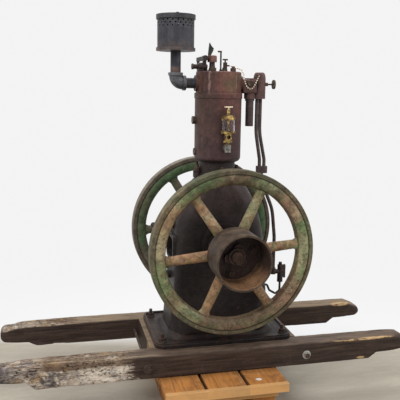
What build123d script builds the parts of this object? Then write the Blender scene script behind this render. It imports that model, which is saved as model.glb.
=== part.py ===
# Vertical single-cylinder stationary engine on two timber skids, standing on a low timber stand.
# Millimetres. X runs along the skids, Y along the crankshaft away from the pulley, Z up.
# The origin is on the floor, straight below the cylinder's axis.
import os
from math import cos, radians, sin, sqrt

from build123d import *

# Fits and cuts
run_clear = 0.05
seat_clear = 0.2
bolt_clear = 1.0
overrun = 5.0

# Timber stand
deck_left = -266.0
deck_board_width = 143.0
deck_board_gap = 12.0
deck_board_count = 3
deck_length = 740.0
deck_thick = 25.0
end_board_height = 31.0
end_board_thick = 18.0
bearer_width = 89.0
bearer_height = 35.0
bearer_gap = 12.0
runner_width = 89.0
runner_height = 89.0
runner_setback = 60.0
stand_inset = 30.0
board_edge_round = 3.0

# Skids
skid_width = 80.0
skid_height = 88.0
skid_spacing = 392.0
skid_edge_round = 6.0
left_end = 853.0
left_step = 706.0
left_step_run = 32.0
near_nose_rise = 30.0
far_nose_rise = 16.0
left_nose_drop = 14.0
left_tip_round = 20.0
right_end = 741.0
right_step = 575.0
right_step_run = 34.0
right_nose_rise = 24.0
right_nose_drop = 20.0
right_tip_round = 24.0

# Timbers across the skids and the rods that tie them
cross_width = 90.0
cross_offset = 245.0
tie_offset = 308.0
tie_drop = 46.0
tie_radius = 6.0
washer_radius = 17.0
washer_thick = 3.0
tie_nut_radius = 11.0
tie_nut_thick = 9.0
tie_end = 6.0

# Crankcase
flange_half_x = 271.0
flange_half_y = 184.0
flange_thick = 15.0
flange_corner = 40.0
flange_round = 3.0
lip_width = 11.0
lip_height = 5.0
column_half_x = 206.0
column_half_y = 126.0
column_height = 622.0
root_half_x = 222.0
root_half_y = 140.0
root_height = 22.0
neck_radius = 69.0
crank_height = 375.0
bearing_pad_radius = 84.0
bearing_pad_reach = 132.0
hand_hole_half_y = 58.0
hand_hole_bottom = 312.0
hand_hole_top = 392.0
hand_hole_depth = 118.0
hand_hole_corner = 16.0
hand_hole_rim = 12.0
hand_hole_face = 188.0
case_boss_radius = 15.0
guide_boss_radius = 15.0
guide_boss_low = 400.0
guide_boss_length = 70.0
tail_boss_radius = 12.0
tail_boss_face = 206.0
tail_boss_height = 168.0

# Bolts that hold the crankcase down
hold_bolt_x = 241.0
hold_bolt_y = 139.0
hold_bolt_radius = 6.5
hold_nut_radius = 13.5
hold_nut_thick = 11.0
hold_washer_radius = 16.0
hold_end = 16.0

# Main bearings
bearing_flange_radius = 66.0
bearing_flange_thick = 14.0
bearing_neck_radius = 37.0
bearing_neck_end = 200.0
bearing_bolt_circle = 52.0
bearing_bolt_radius = 5.0
bearing_bolt_head = 8.5
bearing_bolt_head_thick = 6.5
bearing_bolt_count = 6
bearing_round = 3.0

# Crankshaft
shaft_radius = 22.0
shaft_near_end = 306.0
shaft_far_end = 312.0
starting_radius = 20.0
starting_gap = 2.0
shaft_chamfer = 2.0
key_width = 10.0
key_height = 10.0
key_reach = 6.0
key_head = 7.0

# Flywheels
wheel_radius = 305.0
wheel_width = 51.0
wheel_offset = 235.5
rim_inner_radius = 249.0
rim_lip = 15.0
rim_groove = 4.0
rim_groove_depth = 2.0
rim_inner_half_width = 14.0
rim_edge_round = 3.0
hub_radius = 47.0
hub_length = 62.0
hub_round = 4.0
spoke_count = 6
spoke_hub_width = 42.0
spoke_rim_width = 34.0
spoke_hub_depth = 30.0
spoke_rim_depth = 25.0
spoke_foot_width = 54.0
spoke_foot_depth = 27.5
spoke_foot_length = 15.0
collar_radius = 66.0
collar_width = 49.0
collar_depth = 36.0
near_phase = 5.3
far_phase = 1.9

# Belt pulley
pulley_radius = 100.0
pulley_near_end = 392.0
pulley_far_end = 258.0
pulley_wall = 7.0
pulley_hub_radius = 31.0
pulley_hub_length = 32.0
pulley_web_thick = 7.0
pulley_lobe_count = 3
pulley_lobe_phase = 75.0
pulley_lobe_circle = 27.0
pulley_lobe_radius = 18.0
pulley_lobe_drop = 8.0
pulley_bolt_phase = 15.0
pulley_bolt_circle = 66.0
pulley_pad_radius = 15.0
pulley_pad_thick = 6.0
pulley_bolt_head = 10.0
pulley_bolt_head_thick = 9.0

# Cylinder with its water jacket
lug_circle = 80.0
lug_radius = 16.0
lug_count = 4
joint_thick = 14.0
jacket_bottom = 684.0
jacket_radius = 90.0
jacket_curve = 18.0
jacket_top = 924.0
stud_radius = 6.0
stud_nut_radius = 11.0
stud_nut_thick = 10.0
stud_end = 7.0
jacket_steps = 4
oiler_boss_radius = 14.0
oiler_boss_reach = 3.0
low_plug_radius = 14.0
low_plug_length = 5.0
low_plug_rise = 38.0
high_plug_radius = 15.0
high_plug_length = 12.0
high_plug_drop = 81.0

# Cylinder head
band_radius = 92.5
band_height = 23.0
band_round = 4.0
head_radius = 87.0
head_height = 79.0
head_round = 5.0
head_boss_radius = 11.0
head_stud_circle = 76.0
head_stud_turn = 60.0
head_nut_radius = 11.0
head_nut_thick = 12.0
port_height = 35.0
port_boss_radius = 30.0
port_boss_reach = 93.0

# Exhaust pipe and muffler
exhaust_x = -168.0
pipe_radius = 19.5
pipe_wall = 3.5
elbow_radius = 24.0
elbow_bead_radius = 28.0
elbow_bead_length = 11.0
elbow_reach = 38.0
elbow_bend = 26.0
muffler_bottom = 1099.0
muffler_height = 130.0
muffler_radius = 69.0
muffler_wall = 2.0
rim_radius = 73.5
low_rim_height = 11.0
top_rim_height = 16.0
lid_thick = 3.0
lid_rise = 8.0
lid_dome_radius = 30.0
lid_dome_low = 2.0
lid_dome_steps = 5
lid_nut_radius = 6.0
lid_nut_thick = 3.0

# Mixer beside the head
mixer_low = 926.0
mixer_block_end = 146.0
mixer_block_low = 946.0
mixer_block_high = 1000.0
mixer_block_half_y = 27.0
mixer_round = 8.0
chamber_x = 127.0
chamber_radius = 23.0
chamber_over = 4.0
bowl_x = 165.0
bowl_radius = 24.0
bowl_height = 101.0
bowl_wall = 4.0
bowl_top_radius = 14.0
bowl_dome_height = 27.0
bowl_dome_steps = 5
air_pipe_radius = 15.5
air_pipe_wall = 2.5
air_pipe_drop = 106.0
air_collar_radius = 18.5
air_collar_height = 8.0
needle_height = 982.0
gland_radius = 8.0
gland_length = 10.0
needle_radius = 3.0
needle_length = 28.0
needle_wheel_radius = 18.0
needle_wheel_thick = 6.0
needle_wheel_grips = 12
needle_tip = 4.0

# Fuel pipes and pump on the right of the crankcase
thin_pipe_radius = 6.8
feed_start_x = 156.5
return_start_x = 171.0
union_x = 184.0
union_low = 634.0
union_height = 28.0
union_half_x = 22.0
union_half_y = 11.0
union_port_x = 9.5
riser_radius = 7.0
riser_x = 248.0
riser_foot = 238.0
elbow_socket_radius = 10.5
elbow_socket_height = 26.0
link_radius = 9.5
pump_x = 279.0
pump_low = 178.0
pump_top = 261.0
pump_radius = 11.5
pump_hex_radius = 12.5
pump_hex_height = 11.0
pump_cap_radius = 7.0
pump_cap_height = 11.0
cock_height = 222.0
cock_reach = 3.0
handle_gap = 0.3
handle_thick = 6.2
handle_width = 14.0
handle_reach = 29.0
handle_pin_radius = 4.0
tail_radius = 4.5
tail_drop = 38.0
tail_dip = 52.0
tail_side = 17.0
tail_bend = 11.0

# Sight-feed oiler on the front of the jacket
oiler_x = 8.0
oiler_y = -119.0
oiler_low = 729.0
oiler_nipple_radius = 12.0
oiler_nipple_height = 28.0
oiler_neck_radius = 7.0
oiler_neck_height = 8.0
oiler_ring_radius = 17.0
oiler_ring_height = 8.0
sight_radius = 14.0
sight_height = 26.0
sight_window_radius = 7.5
oiler_plate_radius = 27.5
oiler_plate_thick = 8.0
glass_radius = 24.0
glass_wall = 2.5
glass_height = 41.0
oiler_tube_radius = 4.0
oiler_cap_height = 18.0
oiler_cap_rim = 5.0
oiler_cap_top = 13.0
oiler_cap_steps = 4
oiler_stem_radius = 6.0
oiler_stem_height = 23.0
oiler_pin_radius = 1.6
oiler_lever_radius = 3.0
oiler_lever_length = 32.0
oiler_lever_rise = 9.0
oiler_slot_width = 6.0

# Valve gear and fittings on the head
valve_x = -26.5
valve_y = 0.0
guide_radius = 10.5
guide_foot_radius = 22.0
guide_foot_height = 26.0
guide_foot_steps = 5
guide_height = 35.5
valve_cap_radius = 18.5
valve_cap_height = 25.0
valve_cap_chamfer = 2.5
rocker_shaft_radius = 9.0
rocker_shaft_left = -106.0
rocker_shaft_right = -46.0
rocker_shaft_rise = 18.0
rocker_collar_radius = 11.0
rocker_collar_width = 6.0
bracket_width = 20.0
bracket_half_y = 12.0
bracket_foot = 6.0
bracket_left = -83.0
arm_thick = 12.0
arm_pad_radius = 10.5
arm_pad_rise = 49.5
arm_pad_length = 34.0
arm_width = 15.0
arm_boss_wall = 4.0
push_rod_y = 104.0
push_rod_radius = 5.5
trip_lean = -6.0
trip_width = 23.0
trip_height = 47.0
trip_thick = 9.0
relief_x = 7.5
relief_rod_radius = 3.2
relief_rod_height = 75.7
relief_hook = 12.0
relief_foot_radius = 5.5
relief_foot_height = 9.0
petcock_x = 25.0
petcock_foot_radius = 11.0
petcock_foot_height = 12.0
petcock_body_radius = 8.0
petcock_body_height = 24.0
petcock_stem_radius = 3.0
petcock_stem_height = 10.0
petcock_bar_length = 20.0
petcock_bar_radius = 3.0
petcock_lift = 0.3

# Bead chain that hangs from the petcock to the mixer bowl, and the plug behind it
chain_radius = 1.8
chain_seat = 0.3
chain_gap = 9.0
chain_bend = 9.0
eye_radius = 4.0
eye_drop = 11.0
eye_offset = 12.0
chain_over_x = 80.0
chain_over_lift = 8.0
chain_side_x = 89.0
chain_side_drop = 10.0
chain_fall_x = 96.0
chain_fall_drop = 40.0
chain_low_drop = 63.0
chain_low_x = 118.0
chain_rise_x = 138.0
chain_rise_drop = 38.0
plug_cap_radius = 10.0
plug_cap_thick = 6.5
plug_cap_x = 118.0
plug_cap_height = 984.0

# Control lever and drain on the left of the crankcase
lever_height = 437.0
lever_face = 186.0
lever_radius = 6.0
lever_length = 66.0
lever_knob_radius = 11.0
drain_height = 236.0
drain_face = 206.0
drain_radius = 9.0
drain_length = 30.0
drain_cap_radius = 13.0
drain_cap_length = 12.0

# Heights above the floor
stand_top = runner_height + bearer_height + deck_thick
skid_top = stand_top + skid_height
crank_z = skid_top + crank_height
case_top = skid_top + flange_thick + column_height
head_low = skid_top + jacket_top
head_top = head_low + band_height + head_height
port_z = head_low + band_height + port_height

# Outline of the trip lever as shares of its width and height
trip_shares = [(0.04, 0.0), (0.15, 0.55), (0.27, 1.0), (0.62, 0.72), (0.97, 0.55), (0.86, 0.34), (0.50, 0.0)]

# Outlines of the column as shares of its height, half length and half width, and its corners
column_shares = [
    (0.0, 1.0, 1.0, 0.36),
    (0.22, 0.925, 0.94, 0.39),
    (0.46, 0.885, 0.86, 0.47),
    (0.62, 0.86, 0.80, 0.60),
    (0.745, 0.79, 0.745, 0.72),
    (0.87, 0.64, 0.68, 0.86),
    (0.96, 0.46, 0.595, 0.94),
]


def rod_x(radius, start, end, y=0.0, z=0.0):
    ends = (Align.CENTER, Align.CENTER, Align.MIN)
    return Pos(start, y, z) * Rot(0, 90, 0) * Cylinder(radius, end - start, align=ends)


def rod_y(radius, start, end, x=0.0, z=0.0):
    ends = (Align.CENTER, Align.CENTER, Align.MIN)
    return Pos(x, start, z) * Rot(-90, 0, 0) * Cylinder(radius, end - start, align=ends)


def rod_z(radius, start, end, x=0.0, y=0.0):
    ends = (Align.CENTER, Align.CENTER, Align.MIN)
    return Pos(x, y, start) * Cylinder(radius, end - start, align=ends)


def tube_z(radius, bore, start, end, x=0.0, y=0.0):
    length = end - start
    hole = rod_z(bore, start - length, end + length, x, y)
    return rod_z(radius, start, end, x, y) - hole


def block(x0, x1, y0, y1, z0, z1):
    middle = Pos((x0 + x1) / 2, (y0 + y1) / 2, (z0 + z1) / 2)
    return middle * Box(x1 - x0, y1 - y0, z1 - z0)


def hex_z(radius, start, end, x=0.0, y=0.0):
    return extrude(Plane((x, y, start)) * RegularPolygon(radius, 6), end - start)


def hex_x(radius, start, end, y=0.0, z=0.0):
    plane = Plane(origin=(start, y, z), x_dir=(0, 1, 0), z_dir=(1, 0, 0))
    return extrude(plane * RegularPolygon(radius, 6), end - start)


def hex_y(radius, start, end, x=0.0, z=0.0):
    plane = Plane(origin=(x, start, z), x_dir=(1, 0, 0), z_dir=(0, 1, 0))
    return extrude(plane * RegularPolygon(radius, 6), end - start)


def turned_z(points, x=0.0, y=0.0):
    outline = Polyline(*[(r, 0, z) for r, z in points], close=True)
    return Pos(x, y, 0) * revolve(make_face(outline), Axis.Z)


def head_stud_places(radius):
    turns = [radians(turn) for turn in (head_stud_turn, 180 - head_stud_turn)]
    return [(radius * cos(t), side * radius * sin(t)) for t in turns for side in (-1, 1)]


def ring_places(radius, count, phase=0.0):
    turns = [radians(phase + 360.0 * k / count) for k in range(count)]
    return [(radius * cos(t), radius * sin(t)) for t in turns]


def deck_right():
    return deck_left + deck_board_count * (deck_board_width + deck_board_gap) - deck_board_gap


def soft_edges(solid, radius):
    return fillet(solid.edges().filter_by(Axis.Y), radius)


def deck_boards():
    boards = []
    for k in range(deck_board_count):
        left = deck_left + k * (deck_board_width + deck_board_gap)
        right = left + deck_board_width
        half = deck_length / 2 - end_board_thick
        board = block(left, right, -half, half, stand_top - deck_thick, stand_top)
        boards.append(soft_edges(board, board_edge_round))
    return Compound(boards)


def deck_bearers():
    top = stand_top - deck_thick
    left, right = deck_left + stand_inset, deck_right() - stand_inset
    reach = deck_length / 2 - end_board_thick - bearer_gap - bearer_width / 2
    bars = []
    for y in (-reach, 0.0, reach):
        half = bearer_width / 2
        bars.append(block(left, right, y - half, y + half, top - bearer_height, top))
    return Compound(bars + end_boards())


def end_boards():
    far = deck_length / 2
    near = far - end_board_thick
    low = stand_top - end_board_height
    return [block(deck_left, deck_right(), y0, y1, low, stand_top) for y0, y1 in ((-far, -near), (near, far))]


def ground_runners():
    middle = (deck_left + deck_right()) / 2
    reach = (deck_right() - deck_left - runner_width) / 2 - stand_inset
    end = deck_length / 2 - runner_setback
    bars = []
    for x in (middle - reach, middle, middle + reach):
        half = runner_width / 2
        bars.append(block(x - half, x + half, -end, end, 0, runner_height))
    return Compound(bars)


def skid_outline(left_nose_rise):
    low, high = stand_top, skid_top
    return [
        (-left_step, high),
        (-left_end + left_tip_round, high - left_nose_drop / 2),
        (-left_end, high - left_nose_drop / 2 - left_tip_round),
        (-left_end, low + left_nose_rise + left_tip_round),
        (-left_end + left_tip_round, low + left_nose_rise),
        (-left_step - left_step_run, low + left_nose_rise),
        (-left_step, low),
        (right_step, low),
        (right_step + right_step_run, low + right_nose_rise),
        (right_end - right_tip_round, low + right_nose_rise),
        (right_end, low + right_nose_rise + right_tip_round),
        (right_end, high - right_nose_drop - right_tip_round / 2),
        (right_end - 2 * right_tip_round, high),
    ]


def skid(side):
    middle = side * skid_spacing / 2
    nose_rise = far_nose_rise if side > 0 else near_nose_rise
    points = [(x, middle - skid_width / 2, z) for x, z in skid_outline(nose_rise)]
    bar = extrude(make_face(Polyline(*points, close=True)), amount=skid_width, dir=(0, 1, 0))
    long_edges = bar.edges().filter_by(lambda e: e.length > left_step)
    bar = fillet(long_edges, skid_edge_round)
    for x in (-tie_offset, tie_offset):
        hole = tie_radius + bolt_clear
        bar -= rod_y(hole, middle - skid_width, middle + skid_width, x, skid_top - tie_drop)
    return bar


def cross_timbers():
    inner = (skid_spacing - skid_width) / 2
    holes = [rod_z(hold_bolt_radius + bolt_clear, stand_top - overrun, skid_top + overrun, x, y)
             for x, y in hold_down_places()]
    timbers = []
    for x in (-cross_offset, cross_offset):
        half = cross_width / 2
        timbers.append(block(x - half, x + half, -inner, inner, stand_top, skid_top) - holes)
    return Compound(timbers)


def frame_bolts():
    return Compound(tie_rods() + hold_down_bolts())


def tie_rods():
    face = (skid_spacing + skid_width) / 2
    z = skid_top - tie_drop
    rods = []
    for x in (-tie_offset, tie_offset):
        out = face + washer_thick
        rod = rod_y(tie_radius, -out - tie_nut_thick - tie_end, out + tie_nut_thick + tie_end, x, z)
        rod += rod_y(washer_radius, -out, -face, x, z)
        rod += rod_y(washer_radius, face, out, x, z)
        rod += hex_y(tie_nut_radius, -out - tie_nut_thick, -out, x, z)
        rod += hex_y(tie_nut_radius, out, out + tie_nut_thick, x, z)
        rods.append(rod)
    return rods


def section(z, half_x, half_y, corner):
    return Plane((0, 0, z)) * RectangleRounded(2 * half_x, 2 * half_y, corner)


def column():
    low = skid_top + flange_thick
    faces = []
    for height, along, across, corner in column_shares:
        half_x, half_y = column_half_x * along, column_half_y * across
        faces.append(section(low + height * column_height, half_x, half_y, corner * half_y))
    faces.append(section(low + column_height, neck_radius, neck_radius, neck_radius - seat_clear))
    return loft(faces)


def flange():
    low = skid_top
    plate = extrude(section(low, flange_half_x, flange_half_y, flange_corner), flange_thick)
    plate = fillet(plate.edges().group_by(Axis.Z)[-1], flange_round)
    inner_x, inner_y = flange_half_x - lip_width, flange_half_y - lip_width
    lip = section(low + flange_thick, flange_half_x - flange_round, flange_half_y - flange_round,
                  flange_corner - flange_round)
    lip -= section(low + flange_thick, inner_x, inner_y, flange_corner - lip_width)
    return plate + extrude(lip, lip_height)


def column_root():
    low = skid_top + flange_thick
    wide = section(low, root_half_x, root_half_y, column_half_y / 2)
    narrow = section(low + root_height, column_half_x, column_half_y, column_half_y / 2)
    return loft([wide, narrow], ruled=True)


def lugs(low, high):
    shape = rod_z(neck_radius, low, high)
    for x, y in ring_places(lug_circle, lug_count):
        shape += rod_z(lug_radius, low, high, x, y)
        web = make_face(Polyline((x, y, low), (y / 2, -x / 2, low), (-y / 2, x / 2, low), close=True))
        shape += extrude(web, amount=high - low, dir=(0, 0, 1))
    return shape


def stud_holes():
    low, high = case_top - joint_thick - overrun, case_top + joint_thick + overrun
    places = ring_places(lug_circle, lug_count)
    return [rod_z(stud_radius + seat_clear, low, high, x, y) for x, y in places]


def crankcase():
    case = column() + flange() + column_root()
    case += rod_y(bearing_pad_radius, -bearing_pad_reach, bearing_pad_reach, 0, crank_z)
    case += lugs(case_top - joint_thick, case_top)
    case += hand_hole_frame()
    for z, face in ((lever_height, lever_face), (drain_height, drain_face)):
        case += rod_x(case_boss_radius, -face, 0, 0, skid_top + z)
    case += rod_x(tail_boss_radius, 0, tail_boss_face, 0, skid_top + tail_boss_height)
    guide_low = skid_top + guide_boss_low
    case += rod_z(guide_boss_radius, guide_low, guide_low + guide_boss_length, arm_middle(), push_rod_y)
    case -= rod_y(shaft_radius + run_clear, -flange_half_x, flange_half_x, 0, crank_z)
    case -= hand_hole()
    case -= stud_holes()
    for x, y in hold_down_places():
        case -= rod_z(hold_bolt_radius + bolt_clear, skid_top - overrun, skid_top + 2 * flange_thick, x, y)
    return case


def hand_hole_face_outline(margin, x):
    low, high = skid_top + hand_hole_bottom - margin, skid_top + hand_hole_top + margin
    plane = Plane(origin=(x, 0, (low + high) / 2), x_dir=(0, 1, 0), z_dir=(1, 0, 0))
    wide = 2 * (hand_hole_half_y + margin)
    return plane * RectangleRounded(wide, high - low, hand_hole_corner + margin / 2)


def hand_hole_frame():
    return extrude(hand_hole_face_outline(hand_hole_rim, -hand_hole_face), hand_hole_depth)


def hand_hole():
    start = -hand_hole_face - overrun
    return extrude(hand_hole_face_outline(0, start), hand_hole_depth + overrun)


def hold_down_places():
    return [(x, y) for x in (-hold_bolt_x, hold_bolt_x) for y in (-hold_bolt_y, hold_bolt_y)]


def hold_down_bolts():
    bolts = []
    seat = skid_top + flange_thick
    for x, y in hold_down_places():
        nut_low = seat + washer_thick
        nut_high = nut_low + hold_nut_thick
        bolt = rod_z(hold_bolt_radius, stand_top, nut_high + hold_end, x, y)
        bolt += rod_z(hold_washer_radius, seat, nut_low, x, y)
        bolt += hex_z(hold_nut_radius, nut_low, nut_high, x, y)
        bolts.append(bolt)
    return bolts


def bearing(side):
    face, end = bearing_pad_reach, bearing_neck_end
    flange_end = face + bearing_flange_thick
    body = rod_y(bearing_flange_radius, face, flange_end, 0, crank_z)
    body += rod_y(bearing_neck_radius, face, end, 0, crank_z)
    body = fillet(body.edges().filter_by(GeomType.CIRCLE).group_by(Axis.Y)[-1], bearing_round)
    for x, z in ring_places(bearing_bolt_circle, bearing_bolt_count, 30.0):
        head_end = flange_end + bearing_bolt_head_thick
        body += hex_y(bearing_bolt_head, flange_end - bearing_bolt_radius, head_end, x, crank_z + z)
    body -= rod_y(shaft_radius + run_clear, 0, flange_half_x, 0, crank_z)
    return body if side > 0 else mirror(body, Plane.XZ)


def main_bearings():
    return Compound([bearing(-1), bearing(1)])


def key_slot(start, end, clear):
    half = key_width / 2 + clear
    middle = crank_z - shaft_radius
    deep = key_height / 2 + clear
    return block(-half, half, start, end, middle - deep, middle + deep)


def key_spans():
    half = hub_length / 2
    return [(-wheel_offset - half, -wheel_offset + half), (wheel_offset - half, wheel_offset + half)]


def crankshaft():
    near, far = key_spans()
    step = far[1] + key_reach + starting_gap
    shaft = rod_y(shaft_radius, -shaft_near_end, step, 0, crank_z)
    shaft += rod_y(starting_radius, step, shaft_far_end, 0, crank_z)
    ends = shaft.edges().filter_by(GeomType.CIRCLE).group_by(Axis.Y)
    shaft = chamfer(ends[0] + ends[-1], shaft_chamfer)
    shaft -= key_slot(-shaft_near_end - overrun, near[1] - key_reach, 0)
    shaft -= key_slot(far[0] + key_reach, shaft_far_end + overrun, 0)
    return shaft


def shaft_keys():
    near, far = key_spans()
    ends = ((near[0] - pulley_hub_length - key_reach, near[1] - key_reach),
            (far[0] + key_reach, far[1] + key_reach))
    keys = [key_slot(start, end, -run_clear) for start, end in ends]
    low = crank_z - shaft_radius - key_height / 2
    half = key_width / 2 - run_clear
    far_end = far[1] + key_reach
    keys[1] += block(-half, half, far_end - key_reach + run_clear, far_end, low - key_head, low + key_height)
    return Compound(keys)


def wheel_rim():
    half, groove_r = wheel_width / 2, wheel_radius - rim_lip
    band_r = groove_r - rim_groove
    bulge = ((band_r + rim_inner_radius) / 2, half)
    low = [(rim_inner_radius, rim_inner_half_width), bulge, (band_r, half - rim_groove_depth / 2)]
    lines = []
    for side in (-1, 1):
        a, b, c = [(r, side * y, 0) for r, y in low]
        lines.append(ThreePointArc(a, b, c))
        step = [(band_r, side * (half - rim_groove_depth / 2)), (band_r, side * (half - 2 * rim_groove_depth)),
                (groove_r, side * (half - 2 * rim_groove_depth)), (groove_r, side * half),
                (wheel_radius - rim_edge_round, side * half), (wheel_radius, side * (half - rim_edge_round))]
        lines.append(Polyline(*[(r, y, 0) for r, y in step]))
    lines.append(Line((rim_inner_radius, -rim_inner_half_width, 0), (rim_inner_radius, rim_inner_half_width, 0)))
    lines.append(Line((wheel_radius, -half + rim_edge_round, 0), (wheel_radius, half - rim_edge_round, 0)))
    return revolve(make_face(Curve() + lines), Axis.Y)


def spoke(angle):
    def oval(radius, width, depth):
        plane = Plane(origin=(radius, 0, 0), x_dir=(0, 1, 0), z_dir=(1, 0, 0))
        return plane * Ellipse(depth / 2, width / 2)

    root = hub_radius * cos(radians(360.0 / spoke_count / 2))
    reach = rim_inner_radius + rim_groove
    bar = loft([oval(root, spoke_hub_width, spoke_hub_depth), oval(reach, spoke_rim_width, spoke_rim_depth)])
    bar += loft([oval(root, collar_width, collar_depth), oval(collar_radius, spoke_hub_width, spoke_hub_depth)])
    foot = rim_inner_radius - spoke_foot_length
    bar += loft([oval(foot, spoke_rim_width, spoke_rim_depth), oval(reach, spoke_foot_width, spoke_foot_depth)])
    return Rot(0, -angle, 0) * bar


def flywheel(y, phase):
    half = hub_length / 2
    hub = rod_y(hub_radius, -half, half)
    hub = fillet(hub.edges().filter_by(GeomType.CIRCLE), hub_round)
    wheel = hub + wheel_rim()
    for k in range(spoke_count):
        wheel += spoke(phase + 360.0 * k / spoke_count)
    wheel -= rod_y(shaft_radius + run_clear, -wheel_width * 2, wheel_width * 2)
    wheel = Pos(0, y, crank_z) * wheel
    return wheel - key_slot(y - wheel_width * 2, y + wheel_width * 2, 0)


def pulley():
    near, far = -pulley_near_end, -pulley_far_end
    inner = pulley_radius - pulley_wall
    drum = rod_y(pulley_radius, near, far) - rod_y(inner, near - overrun, far + overrun)
    hub_far = -wheel_offset - hub_length / 2 - seat_clear
    hub_near = hub_far - pulley_hub_length
    web_near = hub_far - pulley_web_thick
    drum += rod_y(inner + pulley_wall / 2, web_near, hub_far)
    drum += rod_y(pulley_hub_radius, hub_near, hub_far)
    for x, z in ring_places(pulley_lobe_circle, pulley_lobe_count, pulley_lobe_phase):
        drum += rod_y(pulley_lobe_radius, hub_near + pulley_lobe_drop, hub_far, x, z)
    for x, z in ring_places(pulley_bolt_circle, pulley_lobe_count, pulley_bolt_phase):
        pad_near = web_near - pulley_pad_thick
        drum += rod_y(pulley_pad_radius, pad_near, hub_far, x, z)
        drum += hex_y(pulley_bolt_head, pad_near - pulley_bolt_head_thick, pad_near, x, z)
    drum = Pos(0, 0, crank_z) * drum
    drum -= rod_y(shaft_radius + run_clear, near - overrun, far + overrun, 0, crank_z)
    return drum - key_slot(near - overrun, far + overrun, 0)


def cylinder():
    low, high = case_top, skid_top + jacket_top
    start = skid_top + jacket_bottom
    profile = [(0, low), (neck_radius, low), (neck_radius, start)]
    for k in range(1, jacket_steps + 1):
        turn = radians(90.0 * k / jacket_steps)
        radius = neck_radius + (jacket_radius - neck_radius) * sin(turn)
        profile.append((radius, start + jacket_curve * (1 - cos(turn))))
    profile += [(jacket_radius, high), (0, high)]
    body = turned_z(profile) + lugs(low, low + joint_thick) - stud_holes()
    seat = skid_top + oiler_low + oiler_nipple_height / 2
    body += rod_y(oiler_boss_radius, -jacket_radius - oiler_boss_reach, 0, oiler_x, seat)
    body += rod_x(low_plug_radius, -jacket_radius - low_plug_length, 0, 0, start + low_plug_rise)
    return body + rod_x(high_plug_radius, -jacket_radius - high_plug_length, 0, 0, high - high_plug_drop)


def stud_nuts():
    return Compound(cylinder_studs() + head_nuts())


def cylinder_studs():
    studs = []
    seat = case_top + joint_thick
    for x, y in ring_places(lug_circle, lug_count):
        stud = rod_z(stud_radius, case_top - joint_thick, seat + stud_nut_thick + stud_end, x, y)
        studs.append(stud + hex_z(stud_nut_radius, seat, seat + stud_nut_thick, x, y))
    return studs


def cylinder_head():
    band = rod_z(band_radius, head_low, head_low + band_height)
    band = fillet(band.edges().filter_by(GeomType.CIRCLE), band_round)
    head = rod_z(head_radius, head_low, head_top)
    head = fillet(head.edges().group_by(Axis.Z)[-1], head_round) + band
    for x, y in head_stud_places(head_radius - head_boss_radius / 2):
        boss = rod_z(head_boss_radius, head_low + band_height / 2, head_top - head_round, x, y)
        head += boss
    head += rod_x(port_boss_radius, -port_boss_reach, port_boss_reach, 0, port_z)
    return head - rod_x(pipe_radius - pipe_wall, -port_boss_reach - overrun, -head_radius / 2, 0, port_z)


def head_nuts():
    nuts = []
    for x, y in head_stud_places(head_stud_circle):
        nut = hex_z(head_nut_radius, head_top, head_top + head_nut_thick, x, y)
        nuts.append(nut + rod_z(stud_radius, head_top, head_top + head_nut_thick + stud_end, x, y))
    return nuts


def exhaust_pipes():
    return Compound([exhaust_nipple(), exhaust_riser()])


def exhaust_nipple():
    start = -port_boss_reach
    end = exhaust_x + elbow_reach
    bore = rod_x(pipe_radius - pipe_wall, end - overrun, start + overrun, 0, port_z)
    return rod_x(pipe_radius, end, start, 0, port_z) - bore


def elbow_top():
    return port_z + elbow_reach


def exhaust_elbow():
    start = (exhaust_x + elbow_reach, 0, port_z)
    end = (exhaust_x, 0, elbow_top())
    path = FilletPolyline(start, (exhaust_x, 0, port_z), end, radius=elbow_bend)

    def swept(radius):
        return sweep(Plane(origin=start, z_dir=(-1, 0, 0)) * Circle(radius), path=path)

    body = swept(elbow_radius)
    body += rod_x(elbow_bead_radius, start[0] - elbow_bead_length, start[0], 0, port_z)
    body += rod_z(elbow_bead_radius, end[2] - elbow_bead_length, end[2], exhaust_x)
    return body - swept(pipe_radius - pipe_wall)


def exhaust_riser():
    top = skid_top + muffler_bottom + lid_thick
    return tube_z(pipe_radius, pipe_radius - pipe_wall, elbow_top(), top, exhaust_x)


def muffler_base():
    low = skid_top + muffler_bottom
    plate = rod_z(rim_radius, low, low + lid_thick, exhaust_x)
    plate += tube_z(rim_radius, muffler_radius + seat_clear, low, low + low_rim_height, exhaust_x)
    return plate - rod_z(pipe_radius + seat_clear, low - elbow_reach, low + elbow_reach, exhaust_x)


def muffler_shell():
    low = skid_top + muffler_bottom + lid_thick
    return tube_z(muffler_radius, muffler_radius - muffler_wall, low, lid_low(), exhaust_x)


def lid_low():
    return skid_top + muffler_bottom + muffler_height - lid_thick


def muffler_top():
    seat = lid_low()
    high = seat + lid_thick
    profile = [(0, seat), (rim_radius, seat), (rim_radius, high), (lid_dome_radius, high + lid_dome_low)]
    for k in range(1, lid_dome_steps):
        turn = radians(90.0 * k / lid_dome_steps)
        profile.append((lid_dome_radius * cos(turn), high + lid_dome_low + (lid_rise - lid_dome_low) * sin(turn)))
    profile.append((0, high + lid_rise))
    lid = turned_z(profile, exhaust_x)
    lid += tube_z(rim_radius, muffler_radius + seat_clear, high - top_rim_height, high, exhaust_x)
    nut_low = high + lid_rise
    return lid + hex_z(lid_nut_radius, nut_low - lid_nut_thick, nut_low + lid_nut_thick, exhaust_x + lid_nut_radius)


def mixer_body():
    low, high = skid_top + mixer_block_low, skid_top + mixer_block_high
    body = block(port_boss_reach, mixer_block_end, -mixer_block_half_y, mixer_block_half_y, low, high)
    body = fillet(body.edges().filter_by(Axis.X), mixer_round)
    body += rod_z(chamber_radius, skid_top + mixer_low, high + chamber_over, chamber_x)
    return body - rod_z(bowl_radius + seat_clear, low - elbow_reach, high + elbow_reach, bowl_x)


def bowl_top():
    return skid_top + mixer_low + bowl_height


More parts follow.
